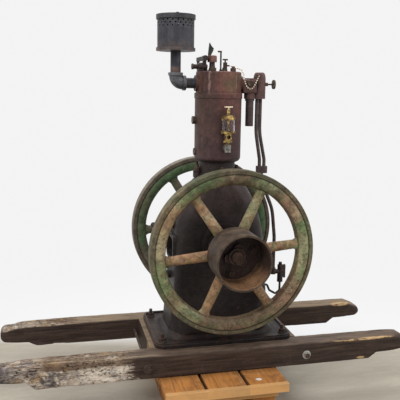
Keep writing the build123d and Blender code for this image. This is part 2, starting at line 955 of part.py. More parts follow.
def mixer_bowl():
    low = skid_top + mixer_low
    shoulder = bowl_top() - bowl_dome_height
    spread = bowl_radius - bowl_top_radius
    profile = [(0, low), (bowl_radius, low), (bowl_radius, shoulder)]
    for k in range(1, bowl_dome_steps + 1):
        turn = radians(90.0 * k / bowl_dome_steps)
        profile.append((bowl_top_radius + spread * cos(turn), shoulder + bowl_dome_height * sin(turn)))
    profile.append((0, bowl_top()))
    bowl = turned_z(profile, bowl_x)
    face = bowl_x + bowl_radius
    z = skid_top + needle_height
    bowl += hex_x(gland_radius, face - bowl_wall, face + gland_length, 0, z)
    bowl += chain_eye(*chain_points()[-1])
    hole_start = face + gland_length - needle_tip - seat_clear
    return bowl - rod_x(needle_radius + run_clear, hole_start, face + elbow_reach, 0, z)


def air_intake_pipe():
    high = skid_top + mixer_low
    bore = air_pipe_radius - air_pipe_wall
    pipe = tube_z(air_pipe_radius, bore, high - air_pipe_drop, high, chamber_x)
    return pipe + tube_z(air_collar_radius, bore, high - air_collar_height, high, chamber_x)


def needle_valve():
    start = bowl_x + bowl_radius + gland_length - needle_tip
    z = skid_top + needle_height
    end = start + needle_tip + needle_length
    valve = rod_x(needle_radius, start, end, 0, z)
    wheel = rod_x(needle_wheel_radius, end - needle_wheel_thick, end, 0, z)
    for y, dz in ring_places(needle_wheel_radius, needle_wheel_grips):
        wheel -= rod_x(needle_radius / 2, end - 2 * needle_wheel_thick, end + overrun, y, z + dz)
    return valve + wheel


def swept_pipe(points, radius, bends):
    path = FilletPolyline(*points, radius=bends)
    direction = Vector(*points[1]) - Vector(*points[0])
    plane = Plane(origin=points[0], z_dir=direction)
    return sweep(plane * Circle(radius), path=path)


def small_pipe(x0, x1):
    high, low = skid_top + mixer_low, skid_top + union_low + union_height
    drop = high - low
    points = [(x0, 0, high), (x0, 0, high - drop / 2), (x1, 0, low + drop / 10), (x1, 0, low)]
    return swept_pipe(points, thin_pipe_radius, [drop, drop / 4])


def supply_pipes():
    feed = small_pipe(feed_start_x, union_x - union_port_x)
    overflow = small_pipe(return_start_x, union_x + union_port_x)
    return Compound([pipe_union() + feed + overflow + fuel_riser(), tail_pipe()])


def pipe_union():
    low = skid_top + union_low
    body = block(union_x - union_half_x, union_x + union_half_x, -union_half_y, union_half_y, low, low + union_height)
    return fillet(body.edges().filter_by(Axis.Z), union_half_y / 2)


def fuel_riser():
    high, low = skid_top + union_low, skid_top + riser_foot
    drop, shift = high - low, riser_x - union_x
    points = [(union_x, 0, high), (union_x, 0, high - drop / 13), (riser_x - shift / 5, 0, low + 5 * drop / 8),
              (riser_x, 0, low + drop / 3), (riser_x, 0, low)]
    return swept_pipe(points, riser_radius, [drop / 9, drop / 2, drop / 2])


def tail_pipe():
    high, boss = skid_top + pump_low, skid_top + tail_boss_height
    low = high - tail_dip
    middle = (pump_x + tail_boss_face) / 2
    points = [(pump_x, 0, high), (pump_x, 0, high - tail_drop), (pump_x - tail_side, 0, low),
              (middle - tail_side / 2, 0, low + tail_side), (tail_boss_face + tail_side, 0, boss),
              (tail_boss_face, 0, boss)]
    return swept_pipe(points, tail_radius, [tail_bend] * (len(points) - 2))


def fuel_pump():
    low, high = skid_top + pump_low, skid_top + pump_top
    shoulder = high - pump_cap_height
    z = skid_top + cock_height
    body = rod_z(pump_radius, low, shoulder, pump_x) + rod_z(pump_cap_radius, shoulder, high, pump_x)
    body += hex_z(pump_hex_radius, low, low + pump_hex_height, pump_x)
    body += hex_z(pump_hex_radius, shoulder - pump_hex_height, shoulder, pump_x)
    socket_high = skid_top + riser_foot
    body += rod_z(elbow_socket_radius, socket_high - elbow_socket_height, socket_high, riser_x)
    body += rod_x(link_radius, riser_x, cock_end(), 0, z)
    return body + rod_x(handle_pin_radius, cock_end(), cock_end() + handle_gap + handle_thick, 0, z)


def cock_end():
    return pump_x + pump_radius + cock_reach


def cock_handle():
    z = skid_top + cock_height
    start = cock_end() + handle_gap
    end = start + handle_thick
    half = handle_width / 2
    reach = handle_reach - half
    bar = block(start, end, -half, half, z - reach, z + reach)
    bar += rod_x(half, start, end, 0, z - reach) + rod_x(half, start, end, 0, z + reach)
    return bar - rod_x(handle_pin_radius + run_clear, start - overrun, end + overrun, 0, z)


def oiler_nipple():
    z = skid_top + oiler_low
    seat = z + oiler_nipple_height / 2
    body = rod_z(oiler_nipple_radius, z, z + oiler_nipple_height, oiler_x, oiler_y)
    return body + rod_y(oiler_nipple_radius, oiler_y, -jacket_radius - oiler_boss_reach, oiler_x, seat)


def oiler_body():
    low = skid_top + oiler_low + oiler_nipple_height
    neck_high = low + oiler_neck_height
    sight_low = neck_high + oiler_ring_height
    plate_low = sight_low + sight_height
    body = rod_z(oiler_neck_radius, low, neck_high, oiler_x, oiler_y)
    body += hex_z(oiler_ring_radius, neck_high, sight_low, oiler_x, oiler_y)
    body += rod_z(sight_radius, sight_low, plate_low, oiler_x, oiler_y)
    window_z = sight_low + sight_height / 2
    body -= rod_y(sight_window_radius, oiler_y - 2 * sight_radius, oiler_y + 2 * sight_radius, oiler_x, window_z)
    body += rod_z(oiler_plate_radius, plate_low, plate_low + oiler_plate_thick, oiler_x, oiler_y)
    return body + rod_z(oiler_tube_radius, plate_low, glass_low() + glass_height, oiler_x, oiler_y)


def glass_low():
    sight_low = skid_top + oiler_low + oiler_nipple_height + oiler_neck_height + oiler_ring_height
    return sight_low + sight_height + oiler_plate_thick


def oiler_glass():
    low = glass_low()
    return tube_z(glass_radius, glass_radius - glass_wall, low, low + glass_height, oiler_x, oiler_y)


def oiler_cap():
    low = glass_low() + glass_height
    high = low + oiler_cap_height
    shoulder = low + oiler_cap_rim
    spread, rise = oiler_plate_radius - oiler_cap_top, oiler_cap_height - oiler_cap_rim
    profile = [(0, low), (oiler_plate_radius, low), (oiler_plate_radius, shoulder)]
    for k in range(1, oiler_cap_steps + 1):
        turn = radians(90.0 * k / oiler_cap_steps)
        profile.append((oiler_cap_top + spread * cos(turn), shoulder + rise * sin(turn)))
    cap = turned_z(profile + [(0, high)], oiler_x, oiler_y)
    stem_high = high + oiler_stem_height
    cap += rod_z(oiler_stem_radius, high, stem_high, oiler_x, oiler_y)
    half = oiler_slot_width / 2
    slot_low = stem_high - oiler_lever_rise
    far = 2 * oiler_stem_radius
    cap -= block(oiler_x - half, oiler_x + half, oiler_y - far, oiler_y + far, slot_low, stem_high + overrun)
    return cap + rod_x(oiler_pin_radius, oiler_x - half, oiler_x + half, oiler_y, stem_high - oiler_lever_rise / 2)


def oiler_pivot_z():
    return glass_low() + glass_height + oiler_cap_height + oiler_stem_height - oiler_lever_rise / 2


def oiler_lever():
    z = oiler_pivot_z()
    half = oiler_slot_width / 2 - 2 * seat_clear
    eye = rod_x(oiler_lever_rise / 3, oiler_x - half, oiler_x + half, oiler_y, z)
    high = z + oiler_lever_rise
    eye += block(oiler_x - half, oiler_x + half, oiler_y - half, oiler_y + half, z, high)
    lever = eye - rod_x(oiler_pin_radius + run_clear, oiler_x - overrun, oiler_x + overrun, oiler_y, z)
    reach = oiler_lever_length / 2
    return lever + rod_x(oiler_lever_radius, oiler_x - reach, oiler_x + reach, oiler_y, high + oiler_lever_radius / 2)


def valve_guide():
    high = head_top + guide_height
    spread = guide_foot_radius - guide_radius
    profile = [(0, head_top), (guide_foot_radius, head_top)]
    for k in range(1, guide_foot_steps + 1):
        turn = radians(90.0 * k / guide_foot_steps)
        profile.append((guide_foot_radius - spread * sin(turn), head_top + guide_foot_height * (1 - cos(turn))))
    return turned_z(profile + [(guide_radius, high), (0, high)], valve_x, valve_y)


def valve_cap():
    low = head_top + guide_height
    cap = hex_z(valve_cap_radius, low, low + valve_cap_height, valve_x, valve_y)
    return chamfer(cap.edges().group_by(Axis.Z)[-1], valve_cap_chamfer)


def rocker_bracket():
    z = head_top + rocker_shaft_rise
    right = bracket_left + bracket_width
    foot = block(bracket_left, right, -bracket_half_y, bracket_half_y, head_top, z)
    foot += rod_x(rocker_shaft_radius + bracket_foot, bracket_left, right, 0, z)
    foot += rod_x(rocker_collar_radius, rocker_shaft_left, rocker_shaft_left + rocker_collar_width, 0, z)
    return foot + rod_x(rocker_shaft_radius, rocker_shaft_left, rocker_shaft_right, 0, z)


def arm_left():
    return bracket_left + bracket_width + seat_clear


def arm_middle():
    return arm_left() + arm_thick / 2


def rocker_arm():
    left = arm_left()
    z = head_top + rocker_shaft_rise
    pad_z = head_top + arm_pad_rise
    arm = rod_y(arm_pad_radius, -arm_pad_length / 2, arm_pad_length / 2, arm_middle(), pad_z)
    arm += block(left, left + arm_thick, -arm_width / 2, arm_width / 2, z - rocker_shaft_radius, pad_z)
    arm += rod_x(rocker_shaft_radius + arm_boss_wall, left, left + arm_thick, 0, z)
    arm += block(left, left + arm_thick, 0, push_rod_y + arm_width / 2, pad_z - arm_width / 2, pad_z + arm_width / 2)
    return arm - rod_x(rocker_shaft_radius + run_clear, left - overrun, left + arm_thick + overrun, 0, z)


def push_rod():
    low = skid_top + guide_boss_low + guide_boss_length
    high = head_top + arm_pad_rise - arm_width / 2
    return rod_z(push_rod_radius, low, high, arm_middle(), push_rod_y)


def trip_lever():
    low = head_top + guide_height + valve_cap_height
    left = valve_x + trip_lean - trip_width / 2
    outline = [(left + x * trip_width, trip_thick / 2, low + z * trip_height) for x, z in trip_shares]
    return extrude(make_face(Polyline(*outline, close=True)), amount=trip_thick, dir=(0, -1, 0))


def relief_rod():
    foot_high = head_top + relief_foot_height
    high = head_top + relief_rod_height
    rod = rod_z(relief_foot_radius, head_top, foot_high, relief_x) + rod_z(relief_rod_radius, head_top, high, relief_x)
    return rod + rod_x(relief_rod_radius, relief_x - relief_hook, relief_x + relief_rod_radius, 0, high)


def head_fittings():
    return Compound([relief_rod(), petcock()])


def petcock():
    foot_high = head_top + petcock_foot_height
    high = foot_high + petcock_body_height
    profile = [(0, head_top), (petcock_foot_radius, head_top), (petcock_body_radius, foot_high),
               (petcock_body_radius, high), (0, high)]
    body = turned_z(profile, petcock_x)
    return body + rod_x(petcock_stem_radius, petcock_x, petcock_x + 2 * petcock_body_radius, 0, petcock_stem_z())


def petcock_stem_z():
    return head_top + petcock_foot_height + petcock_body_height / 2


def petcock_top():
    return head_top + petcock_foot_height + petcock_body_height


def petcock_handle():
    low = petcock_top() + petcock_lift
    stem_high = low + petcock_stem_height
    stem = rod_z(petcock_stem_radius, low, stem_high, petcock_x)
    half = petcock_bar_length / 2
    return stem + rod_x(petcock_bar_radius, petcock_x - half, petcock_x + half, 0, stem_high)


def chain_points():
    y = -mixer_block_half_y - chain_gap
    start = (petcock_x + 2 * petcock_body_radius + chain_radius + chain_seat, 0, petcock_stem_z())
    over = (chain_over_x, y + chain_gap / 2, head_top + chain_over_lift)
    between = ((start[0] + over[0]) / 2, over[1] * 2 / 3, (start[2] + over[2]) / 2)
    return start, between, over, (chain_side_x, y, head_top - chain_side_drop), \
        (chain_fall_x, y, head_top - chain_fall_drop), (chain_low_x, y, head_top - chain_low_drop), \
        (chain_rise_x, y, head_top - chain_rise_drop), (bowl_x - eye_offset, y, bowl_top() - eye_drop)


def plug_chain():
    points = chain_points()
    return swept_pipe(points, chain_radius, [chain_bend] * (len(points) - 2))


def chain_eye(x, y, z):
    return rod_y(eye_radius, y + chain_radius + chain_seat, 0, x, z)


def priming_plug():
    far = -mixer_block_half_y
    return rod_y(plug_cap_radius, far - plug_cap_thick, far, plug_cap_x, skid_top + plug_cap_height)


def control_lever():
    z = skid_top + lever_height
    start = -lever_face - lever_length
    rod = rod_x(lever_radius, start, -lever_face, 0, z)
    return rod + Pos(start, 0, z) * Sphere(lever_knob_radius)


def drain_pipe():
    z = skid_top + drain_height
    start = -drain_face - drain_length
    pipe = rod_x(drain_radius, start, -drain_face, 0, z)
    return pipe + hex_x(drain_cap_radius, start - drain_cap_length, start, 0, z)


def node_shapes():
    return {
        "deck_boards": deck_boards(),
        "stand_bearers": deck_bearers(),
        "stand_runners": ground_runners(),
        "near_skid": skid(-1),
        "far_skid": skid(1),
        "cross_timbers": cross_timbers(),
        "frame_bolts": frame_bolts(),
        "crankcase": crankcase(),
        "main_bearings": main_bearings(),
        "crankshaft": crankshaft(),
        "shaft_keys": shaft_keys(),
        "near_flywheel": flywheel(-wheel_offset, near_phase),
        "far_flywheel": flywheel(wheel_offset, far_phase),
        "pulley": pulley(),
        "cylinder": cylinder(),
        "stud_nuts": stud_nuts(),
        "cylinder_head": cylinder_head(),
        "exhaust_pipes": exhaust_pipes(),
        "exhaust_elbow": exhaust_elbow(),
        "muffler_base": muffler_base(),
        "muffler_shell": muffler_shell(),
        "muffler_top": muffler_top(),
        "mixer_body": mixer_body(),
        "mixer_bowl": mixer_bowl(),
        "air_intake_pipe": air_intake_pipe(),
        "needle_valve": needle_valve(),
        "supply_pipes": supply_pipes(),
        "fuel_pump": fuel_pump(),
        "cock_handle": cock_handle(),
        "oiler_nipple": oiler_nipple(),
        "oiler_body": oiler_body(),
        "oiler_glass": oiler_glass(),
        "oiler_cap": oiler_cap(),
        "oiler_lever": oiler_lever(),
        "valve_guide": valve_guide(),
        "valve_cap": valve_cap(),
        "rocker_bracket": rocker_bracket(),
        "rocker_arm": rocker_arm(),
        "push_rod": push_rod(),
        "trip_lever": trip_lever(),
        "head_fittings": head_fittings(),
        "petcock_handle": petcock_handle(),
        "plug_chain": plug_chain(),
        "priming_plug": priming_plug(),
        "control_lever": control_lever(),
        "drain_pipe": drain_pipe(),
    }


os.makedirs("parts", exist_ok=True)
for name, shape in node_shapes().items():
    export_step(shape, "parts/" + name + ".step")
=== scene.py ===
# Old vertical stationary petrol engine on timber skids and a low timber stand.
import math

import bmesh
import bpy
from mathutils import Matrix, Vector, noise


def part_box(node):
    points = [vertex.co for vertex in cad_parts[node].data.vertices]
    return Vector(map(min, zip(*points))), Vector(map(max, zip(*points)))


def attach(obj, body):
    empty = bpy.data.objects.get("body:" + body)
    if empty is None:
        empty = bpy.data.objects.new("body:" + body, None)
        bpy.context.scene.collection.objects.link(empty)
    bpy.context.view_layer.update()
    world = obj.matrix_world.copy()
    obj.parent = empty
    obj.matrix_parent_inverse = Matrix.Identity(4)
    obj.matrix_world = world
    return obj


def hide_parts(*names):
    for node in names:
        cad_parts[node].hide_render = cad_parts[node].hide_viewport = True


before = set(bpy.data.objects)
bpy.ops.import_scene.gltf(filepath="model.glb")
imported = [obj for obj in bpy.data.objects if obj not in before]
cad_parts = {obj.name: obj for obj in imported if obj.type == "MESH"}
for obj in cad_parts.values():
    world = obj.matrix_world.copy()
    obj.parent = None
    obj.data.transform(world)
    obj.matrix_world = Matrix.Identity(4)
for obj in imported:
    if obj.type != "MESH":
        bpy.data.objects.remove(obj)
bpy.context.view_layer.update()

MM = 0.001
SKID_LOW, SKID_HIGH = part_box("near_skid")
SKID_TOP = SKID_HIGH.z
STAND_TOP = SKID_LOW.z
WHEEL_LOW, WHEEL_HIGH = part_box("near_flywheel")
CRANK_Z = (WHEEL_LOW.z + WHEEL_HIGH.z) / 2


class Graph:
    """The node tree of a material or a world, with short calls for the nodes used here."""

    def __init__(self, owner):
        owner.use_nodes = True
        self.owner = owner
        self.tree = owner.node_tree
        self.tree.nodes.clear()
        self.place = self.node("TexCoord").outputs["Object"]

    def node(self, kind, **settings):
        made = self.tree.nodes.new("ShaderNode" + kind)
        for key, value in settings.items():
            setattr(made, key, value)
        return made

    def put(self, socket, value):
        if isinstance(value, bpy.types.NodeSocket):
            self.tree.links.new(value, socket)
        elif value is not None:
            socket.default_value = value

    def math(self, operation, a, b=None, clamp=False):
        made = self.node("Math", operation=operation, use_clamp=clamp)
        self.put(made.inputs[0], a)
        self.put(made.inputs[1], b)
        return made.outputs[0]

    def times(self, first, *rest):
        for value in rest:
            first = self.math("MULTIPLY", first, value)
        return first

    def plus(self, a, b):
        return self.math("ADD", a, b)

    def wobbled(self, value, push, reach):
        """A value pushed up and down by a noise, push, which varies round a half."""
        return self.plus(value, self.times(self.math("SUBTRACT", push, 0.5), reach))

    def vector(self, operation, a, b=None):
        made = self.node("VectorMath", operation=operation)
        self.put(made.inputs[0], a)
        self.put(made.inputs[1], b)
        return made.outputs["Value" if operation in ("LENGTH", "DOT_PRODUCT") else "Vector"]

    def axes(self, vector=None):
        made = self.node("SeparateXYZ")
        self.put(made.inputs[0], vector or self.place)
        return made.outputs

    def noise(self, scale, detail=4.0, rough=0.6, at=None, twist=0.0):
        made = self.node("TexNoise")
        self.put(made.inputs["Vector"], at or self.place)
        self.put(made.inputs["Scale"], scale)
        self.put(made.inputs["Detail"], detail)
        self.put(made.inputs["Roughness"], rough)
        self.put(made.inputs["Distortion"], twist)
        return made.outputs["Fac"]

    def grain(self, scales, detail, rough, shift=(0, 0, 0), twist=0.0):
        """Noise with a scale of its own along each axis."""
        moved = self.vector("ADD", self.place, shift)
        return self.noise(1.0, detail, rough, self.vector("MULTIPLY", moved, scales), twist)

    def band(self, value, low, high):
        """0 at low, 1 at high, even in between, and level outside."""
        made = self.node("MapRange", clamp=True)
        self.put(made.inputs["Value"], value)
        self.put(made.inputs["From Min"], low)
        self.put(made.inputs["From Max"], high)
        return made.outputs["Result"]

    def ramp(self, value, stops):
        made = self.node("ValToRGB")
        elements = made.color_ramp.elements
        while len(elements) < len(stops):
            elements.new(0.5)
        for element, (place, colour) in zip(elements, stops):
            element.position = place
            element.color = (*colour, 1)
        self.put(made.inputs[0], value)
        return made.outputs[0]

    def mix(self, share, a, b):
        made = self.node("Mix", data_type="RGBA")
        self.put(made.inputs["Factor"], share)
        sockets = [s for s in made.inputs if s.type == "RGBA"]
        for socket, value in zip(sockets, (a, b)):
            self.put(socket, (*value, 1) if isinstance(value, tuple) else value)
        return [s for s in made.outputs if s.type == "RGBA"][0]

    def lay(self, colour, tone, *shares):
        """A colour with a tone laid over it, as strongly as the product of the shares."""
        return self.mix(self.times(*shares), colour, tone)

    def scaled(self, colour, share):
        made = self.node("VectorMath", operation="SCALE")
        self.put(made.inputs[0], colour)
        self.put(made.inputs["Scale"], share)
        return made.outputs["Vector"]

    def cavity(self, distance, power=1.0):
        """1 deep in a corner, 0 in the open."""
        made = self.node("AmbientOcclusion", samples=6)
        self.put(made.inputs["Distance"], distance)
        return self.math("POWER", self.math("SUBTRACT", 1.0, made.outputs["AO"]), power, clamp=True)

    def edges(self, radius, gain=6.0):
        """1 on sharp edges, 0 on flat faces."""
        bevel = self.node("Bevel", samples=4)
        self.put(bevel.inputs["Radius"], radius)
        normal = self.node("NewGeometry").outputs["Normal"]
        turn = self.vector("DOT_PRODUCT", bevel.outputs["Normal"], normal)
        return self.math("MULTIPLY", self.math("SUBTRACT", 1.0, turn), gain, clamp=True)

    def facing_up(self):
        return self.axes(self.node("NewGeometry").outputs["Normal"])["Z"]

    def bump(self, height, distance, strength):
        made = self.node("Bump")
        self.put(made.inputs["Height"], height)
        self.put(made.inputs["Distance"], distance)
        self.put(made.inputs["Strength"], strength)
        return made.outputs["Normal"]

    def blend(self, share, a, b):
        """One shader fading into another."""
        made = self.node("MixShader")
        self.put(made.inputs[0], share)
        self.tree.links.new(a.outputs[0], made.inputs[1])
        self.tree.links.new(b.outputs[0], made.inputs[2])
        return made

    def surface(self, colour, rough, metal=0.0, normal=None, **sockets):
        shader = self.node("BsdfPrincipled")
        self.put(shader.inputs["Base Color"], (*colour, 1) if isinstance(colour, tuple) else colour)
        self.put(shader.inputs["Roughness"], rough)
        self.put(shader.inputs["Metallic"], metal)
        self.put(shader.inputs["Normal"], normal)
        for name, value in sockets.items():
            shader.inputs[name.replace("_", " ")].default_value = value
        self.tree.links.new(shader.outputs[0], self.node("OutputMaterial").inputs["Surface"])
        return self.owner


def new_graph(name):
    return Graph(bpy.data.materials.new(name))


def by_radius(g):
    """Distance from the crankshaft's axis."""
    centred = g.vector("SUBTRACT", g.place, (0, 0, CRANK_Z))
    return g.vector("LENGTH", g.vector("MULTIPLY", centred, (1, 0, 1)))


def patch(g, scale, shift, low, high, twist=0.8):
    """Uneven patches, 0 to 1, from a noise of their own."""
    return g.band(g.noise(scale, 6, 0.68, g.vector("ADD", g.place, shift), twist), low, high)


def spot(g, centre, size, low=0.7, high=1.0):
    """1 inside an uneven ellipsoid about centre, 0 outside."""
    away = g.vector("DIVIDE", g.vector("SUBTRACT", g.place, centre), size)
    return g.band(g.wobbled(g.vector("LENGTH", away), g.noise(60, 4), 0.8), high, low)


def iron(name, palette, specks, dirt_and_shade, wear, rough, grain, spread, metal=0.0, tint=None, mottle=0.35,
         specular=0.25):
    """Iron under old paint, oil, dust and rust, with painted shade in its corners, the palette in patches and tint
    changing it by place.
    """
    g = new_graph(name)
    colour = g.ramp(g.noise(spread, 6, 0.62, twist=0.4), palette)
    if tint:
        colour = tint(g, colour)
    blotches = g.band(g.noise(38, 7, 0.7, twist=0.3), 0.32, 0.68)
    colour = g.scaled(colour, g.plus(1 - mottle, g.times(blotches, 2 * mottle)))
    colour = g.lay(colour, specks[0], g.band(g.noise(110, 7, 0.75), 0.54, 0.66), 0.8)
    colour = g.lay(colour, specks[1], g.band(g.noise(170, 6, 0.75), 0.58, 0.7), 0.8)
    colour = g.lay(colour, dirt_and_shade, g.band(g.noise(22, 5, 0.65), 0.5, 0.7), 0.5)
    # painted shade: the same dark colour darkens the corners and hollows that ambient occlusion finds
    colour = g.lay(colour, dirt_and_shade, g.cavity(0.035, 0.8), 0.8)
    colour = g.lay(colour, wear, g.edges(0.0025), g.band(g.noise(60, 4), 0.35, 0.6), 0.8)
    shine = g.plus(rough[0], g.times(g.noise(30, 5), rough[1] - rough[0]))
    skin = g.plus(g.noise(150, 6, 0.7), g.times(g.noise(28, 4), 1.5))
    return g.surface(colour, shine, metal, g.bump(skin, 0.0009 * grain, 0.8), Specular_IOR_Level=specular)


# Colours and places on the flywheels
NEAR_WHEEL_Y = -0.2355
WHEEL_DARK = (0.045, 0.032, 0.022)
WHEEL_GREEN = (0.085, 0.165, 0.062)
WHEEL_PALE_GREEN = (0.185, 0.215, 0.115)
WHEEL_PINK = (0.245, 0.128, 0.088)
WHEEL_BROWN = (0.125, 0.080, 0.050)
WHEEL_ORANGE = (0.30, 0.165, 0.088)
WHEEL_CREAM = (0.37, 0.30, 0.19)
WHEEL_HUB = (0.1, 0.05)   # radii between which the dark of the hub comes in
# Patches of paint and rust on the near wheel: angle in degrees from the right, radius, reach and colour
FACE_PATCHES = [
    (115, 0.280, 0.075, WHEEL_GREEN), (62, 0.270, 0.050, WHEEL_PALE_GREEN), (2, 0.272, 0.070, WHEEL_PALE_GREEN),
    (22, 0.282, 0.040, WHEEL_GREEN), (197, 0.284, 0.080, WHEEL_GREEN), (232, 0.270, 0.060, WHEEL_PALE_GREEN),
    (38, 0.258, 0.060, WHEEL_PINK), (-38, 0.262, 0.085, WHEEL_PINK), (152, 0.260, 0.070, WHEEL_ORANGE),
    (88, 0.280, 0.060, WHEEL_BROWN), (262, 0.278, 0.090, WHEEL_BROWN), (172, 0.258, 0.045, WHEEL_CREAM),
    (66, 0.165, 0.060, WHEEL_PALE_GREEN), (126, 0.150, 0.045, WHEEL_CREAM), (186, 0.190, 0.050, WHEEL_ORANGE)]


def near_wheel_tint(g, colour):
    radius = by_radius(g)
    rim = g.band(radius, 0.246, 0.252)
    inside = g.band(radius, 0.254, 0.246)
    colour = g.lay(colour, WHEEL_BROWN, patch(g, 7, (2, 2, 9), 0.46, 0.56), 0.6)
    colour = g.lay(colour, WHEEL_GREEN, patch(g, 8, (3, 1, 2), 0.49, 0.55), 0.6)
    inner = g.times(g.band(g.wobbled(radius, g.noise(9, 5), 0.05), 0.270, 0.262), rim)
    colour = g.lay(colour, (0.25, 0.15, 0.095), inner, 0.4)
    share = g.plus(0.35, g.times(patch(g, 11, (5, 2, 1), 0.4, 0.55), 0.55))
    colour = g.lay(colour, WHEEL_ORANGE, inside, share)
    for angle, out, reach, tone in FACE_PATCHES:
        turn = math.radians(angle)
        centre = (out * math.cos(turn), NEAR_WHEEL_Y, CRANK_Z + out * math.sin(turn))
        here = spot(g, centre, (reach, 0.2, reach), 0.55, 1.15)
        broken = patch(g, 24, (angle * 0.1, reach * 30, 0), 0.36, 0.50)
        colour = g.lay(colour, tone, here, broken, 0.75)
    colour = g.lay(colour, WHEEL_CREAM, patch(g, 26, (2, 8, 5), 0.57, 0.63), 0.6)
    colour = g.lay(colour, WHEEL_GREEN, patch(g, 17, (1, 5, 8), 0.57, 0.63), 0.55)
    # painted light: the rim's left and right sides get a pale tone, and they and the spokes are made brighter
    sides = g.times(g.band(g.math("ABSOLUTE", g.axes()["X"]), 0.12, 0.27), rim)
    colour = g.lay(colour, (0.32, 0.30, 0.17), sides, 0.22)
    light = g.plus(g.times(sides, 0.50), g.times(inside, 0.36))
    colour = g.scaled(colour, g.plus(0.90, light))
    colour = g.lay(colour, (0.055, 0.040, 0.026), patch(g, 60, (3, 7, 9), 0.56, 0.62), 0.6)
    border = g.times(g.band(radius, 0.2475, 0.2495), g.band(radius, 0.2535, 0.2515))
    colour = g.lay(colour, (0.075, 0.045, 0.028), border, 0.65)
    uneven = g.plus(0.5, g.times(patch(g, 13, (4, 4, 4), 0.4, 0.6), 0.4))
    edge = g.times(g.band(radius, 0.2865, 0.291), uneven)
    colour = g.lay(colour, (0.070, 0.060, 0.036), edge)
    return g.lay(colour, WHEEL_DARK, g.band(radius, *WHEEL_HUB), 0.6)


def near_wheel_finish():
    palette = [(0.30, (0.10, 0.075, 0.042)), (0.42, (0.17, 0.15, 0.075)), (0.52, (0.24, 0.165, 0.09)),
               (0.62, (0.20, 0.12, 0.072)), (0.75, (0.31, 0.235, 0.14))]
    return iron("near wheel iron", palette, specks=(WHEEL_DARK, (0.46, 0.38, 0.26)), dirt_and_shade=(0.04, 0.028, 0.018),
                wear=(0.05, 0.036, 0.024), rough=(0.45, 0.8), grain=1.3, spread=9.0, tint=near_wheel_tint,
                mottle=0.45)


def far_wheel_tint(g, colour):
    radius = by_radius(g)
    ring = g.times(g.band(radius, 0.243, 0.25), g.band(radius, 0.287, 0.283))
    colour = g.lay(colour, (0.085, 0.145, 0.068), ring, patch(g, 9, (3, 1, 2), 0.40, 0.56))
    colour = g.lay(colour, (0.105, 0.082, 0.062), g.band(radius, 0.284, 0.288), 0.8)
    colour = g.lay(colour, (0.24, 0.20, 0.155), g.band(radius, 0.303, 0.3045), 0.6)
    return g.lay(colour, WHEEL_DARK, g.band(radius, *WHEEL_HUB), 0.6)


def far_wheel_finish():
    palette = [(0.30, (0.06, 0.05, 0.036)), (0.45, (0.09, 0.105, 0.055)), (0.6, (0.13, 0.105, 0.075)),
               (0.75, (0.20, 0.16, 0.12))]
    return iron("far wheel iron", palette, specks=((0.04, 0.03, 0.02), (0.3, 0.26, 0.19)),
                dirt_and_shade=(0.03, 0.024, 0.018), wear=(0.05, 0.038, 0.026), rough=(0.45, 0.8), grain=1.3, spread=9.0,
                tint=far_wheel_tint, mottle=0.4)


def pulley_tint(g, colour):
    radius = by_radius(g)
    inside = g.band(radius, 0.0936, 0.0925)
    # painted shade: the hollow of the dish, inside its wall, is darkened
    colour = g.lay(colour, (0.036, 0.023, 0.022), inside, 0.85)
    red = g.times(inside, patch(g, 30, (1, 2, 3), 0.48, 0.6))
    colour = g.lay(colour, (0.085, 0.036, 0.032), red, 0.7)
    wall = g.band(radius, 0.088, 0.0915)
    low = g.band(g.axes()["Z"], CRANK_Z - 0.02, CRANK_Z - 0.078)
    colour = g.lay(colour, (0.47, 0.25, 0.12), low, wall, inside)
    hub = g.times(g.band(radius, 0.05, 0.02), patch(g, 45, (6, 2, 1), 0.45, 0.6))
    return g.lay(colour, (0.20, 0.10, 0.075), hub, 0.6)


def pulley_finish():
    palette = [(0.3, (0.034, 0.023, 0.018)), (0.5, (0.068, 0.046, 0.033)), (0.7, (0.13, 0.088, 0.058))]
    return iron("pulley iron", palette, specks=((0.03, 0.02, 0.016), (0.24, 0.18, 0.12)),
                dirt_and_shade=(0.022, 0.015, 0.012), wear=(0.22, 0.155, 0.10), rough=(0.4, 0.7), grain=0.8, spread=12.0,
                tint=pulley_tint, mottle=0.45)


def crankcase_tint(g, colour):
    axes = g.axes()
    # the upper part is lighter purple-brown: dust, and painted light where the case turns upward
    up = g.band(axes["Z"], SKID_TOP + 0.44, SKID_TOP + 0.56)
    colour = g.lay(colour, (0.062, 0.041, 0.038), up, 0.8)
    foot = g.band(axes["Z"], SKID_TOP + 0.05, SKID_TOP + 0.02)
    rust = g.times(foot, patch(g, 20, (2, 2, 7), 0.5, 0.6))
    colour = g.lay(colour, (0.085, 0.042, 0.028), rust, 0.6)
    left = g.times(g.band(axes["X"], -0.235, -0.26), foot)
    colour = g.lay(colour, (0.10, 0.06, 0.042), left, 0.5)
    scuffs = g.grain((14, 14, 60), 6, 0.7, (4, 1, 2), twist=0.6)
    marks = g.times(g.band(scuffs, 0.6, 0.68), g.band(axes["Z"], SKID_TOP + 0.3, SKID_TOP + 0.15))
    return g.lay(colour, (0.12, 0.062, 0.05), marks, 0.6)


def crankcase_finish():
    palette = [(0.3, (0.010, 0.0085, 0.0085)), (0.5, (0.024, 0.018, 0.017)), (0.66, (0.040, 0.031, 0.027)),
               (0.8, (0.048, 0.046, 0.040))]
    return iron("crankcase iron", palette, specks=((0.008, 0.007, 0.0065), (0.06, 0.048, 0.042)),
                dirt_and_shade=(0.007, 0.006, 0.006), wear=(0.065, 0.05, 0.043), rough=(0.30, 0.6), grain=1.4, spread=5.0,
                tint=crankcase_tint, mottle=0.35, specular=0.18)


# Ridges down the cylinder's head, worn and with a painted highlight, as places along X and half widths, and a
# green stain beside them
HEAD_RIDGES = ((-0.053, 0.0046), (0.050, 0.0042))
HEAD_STAIN = (0.035, -0.08, 1.225)
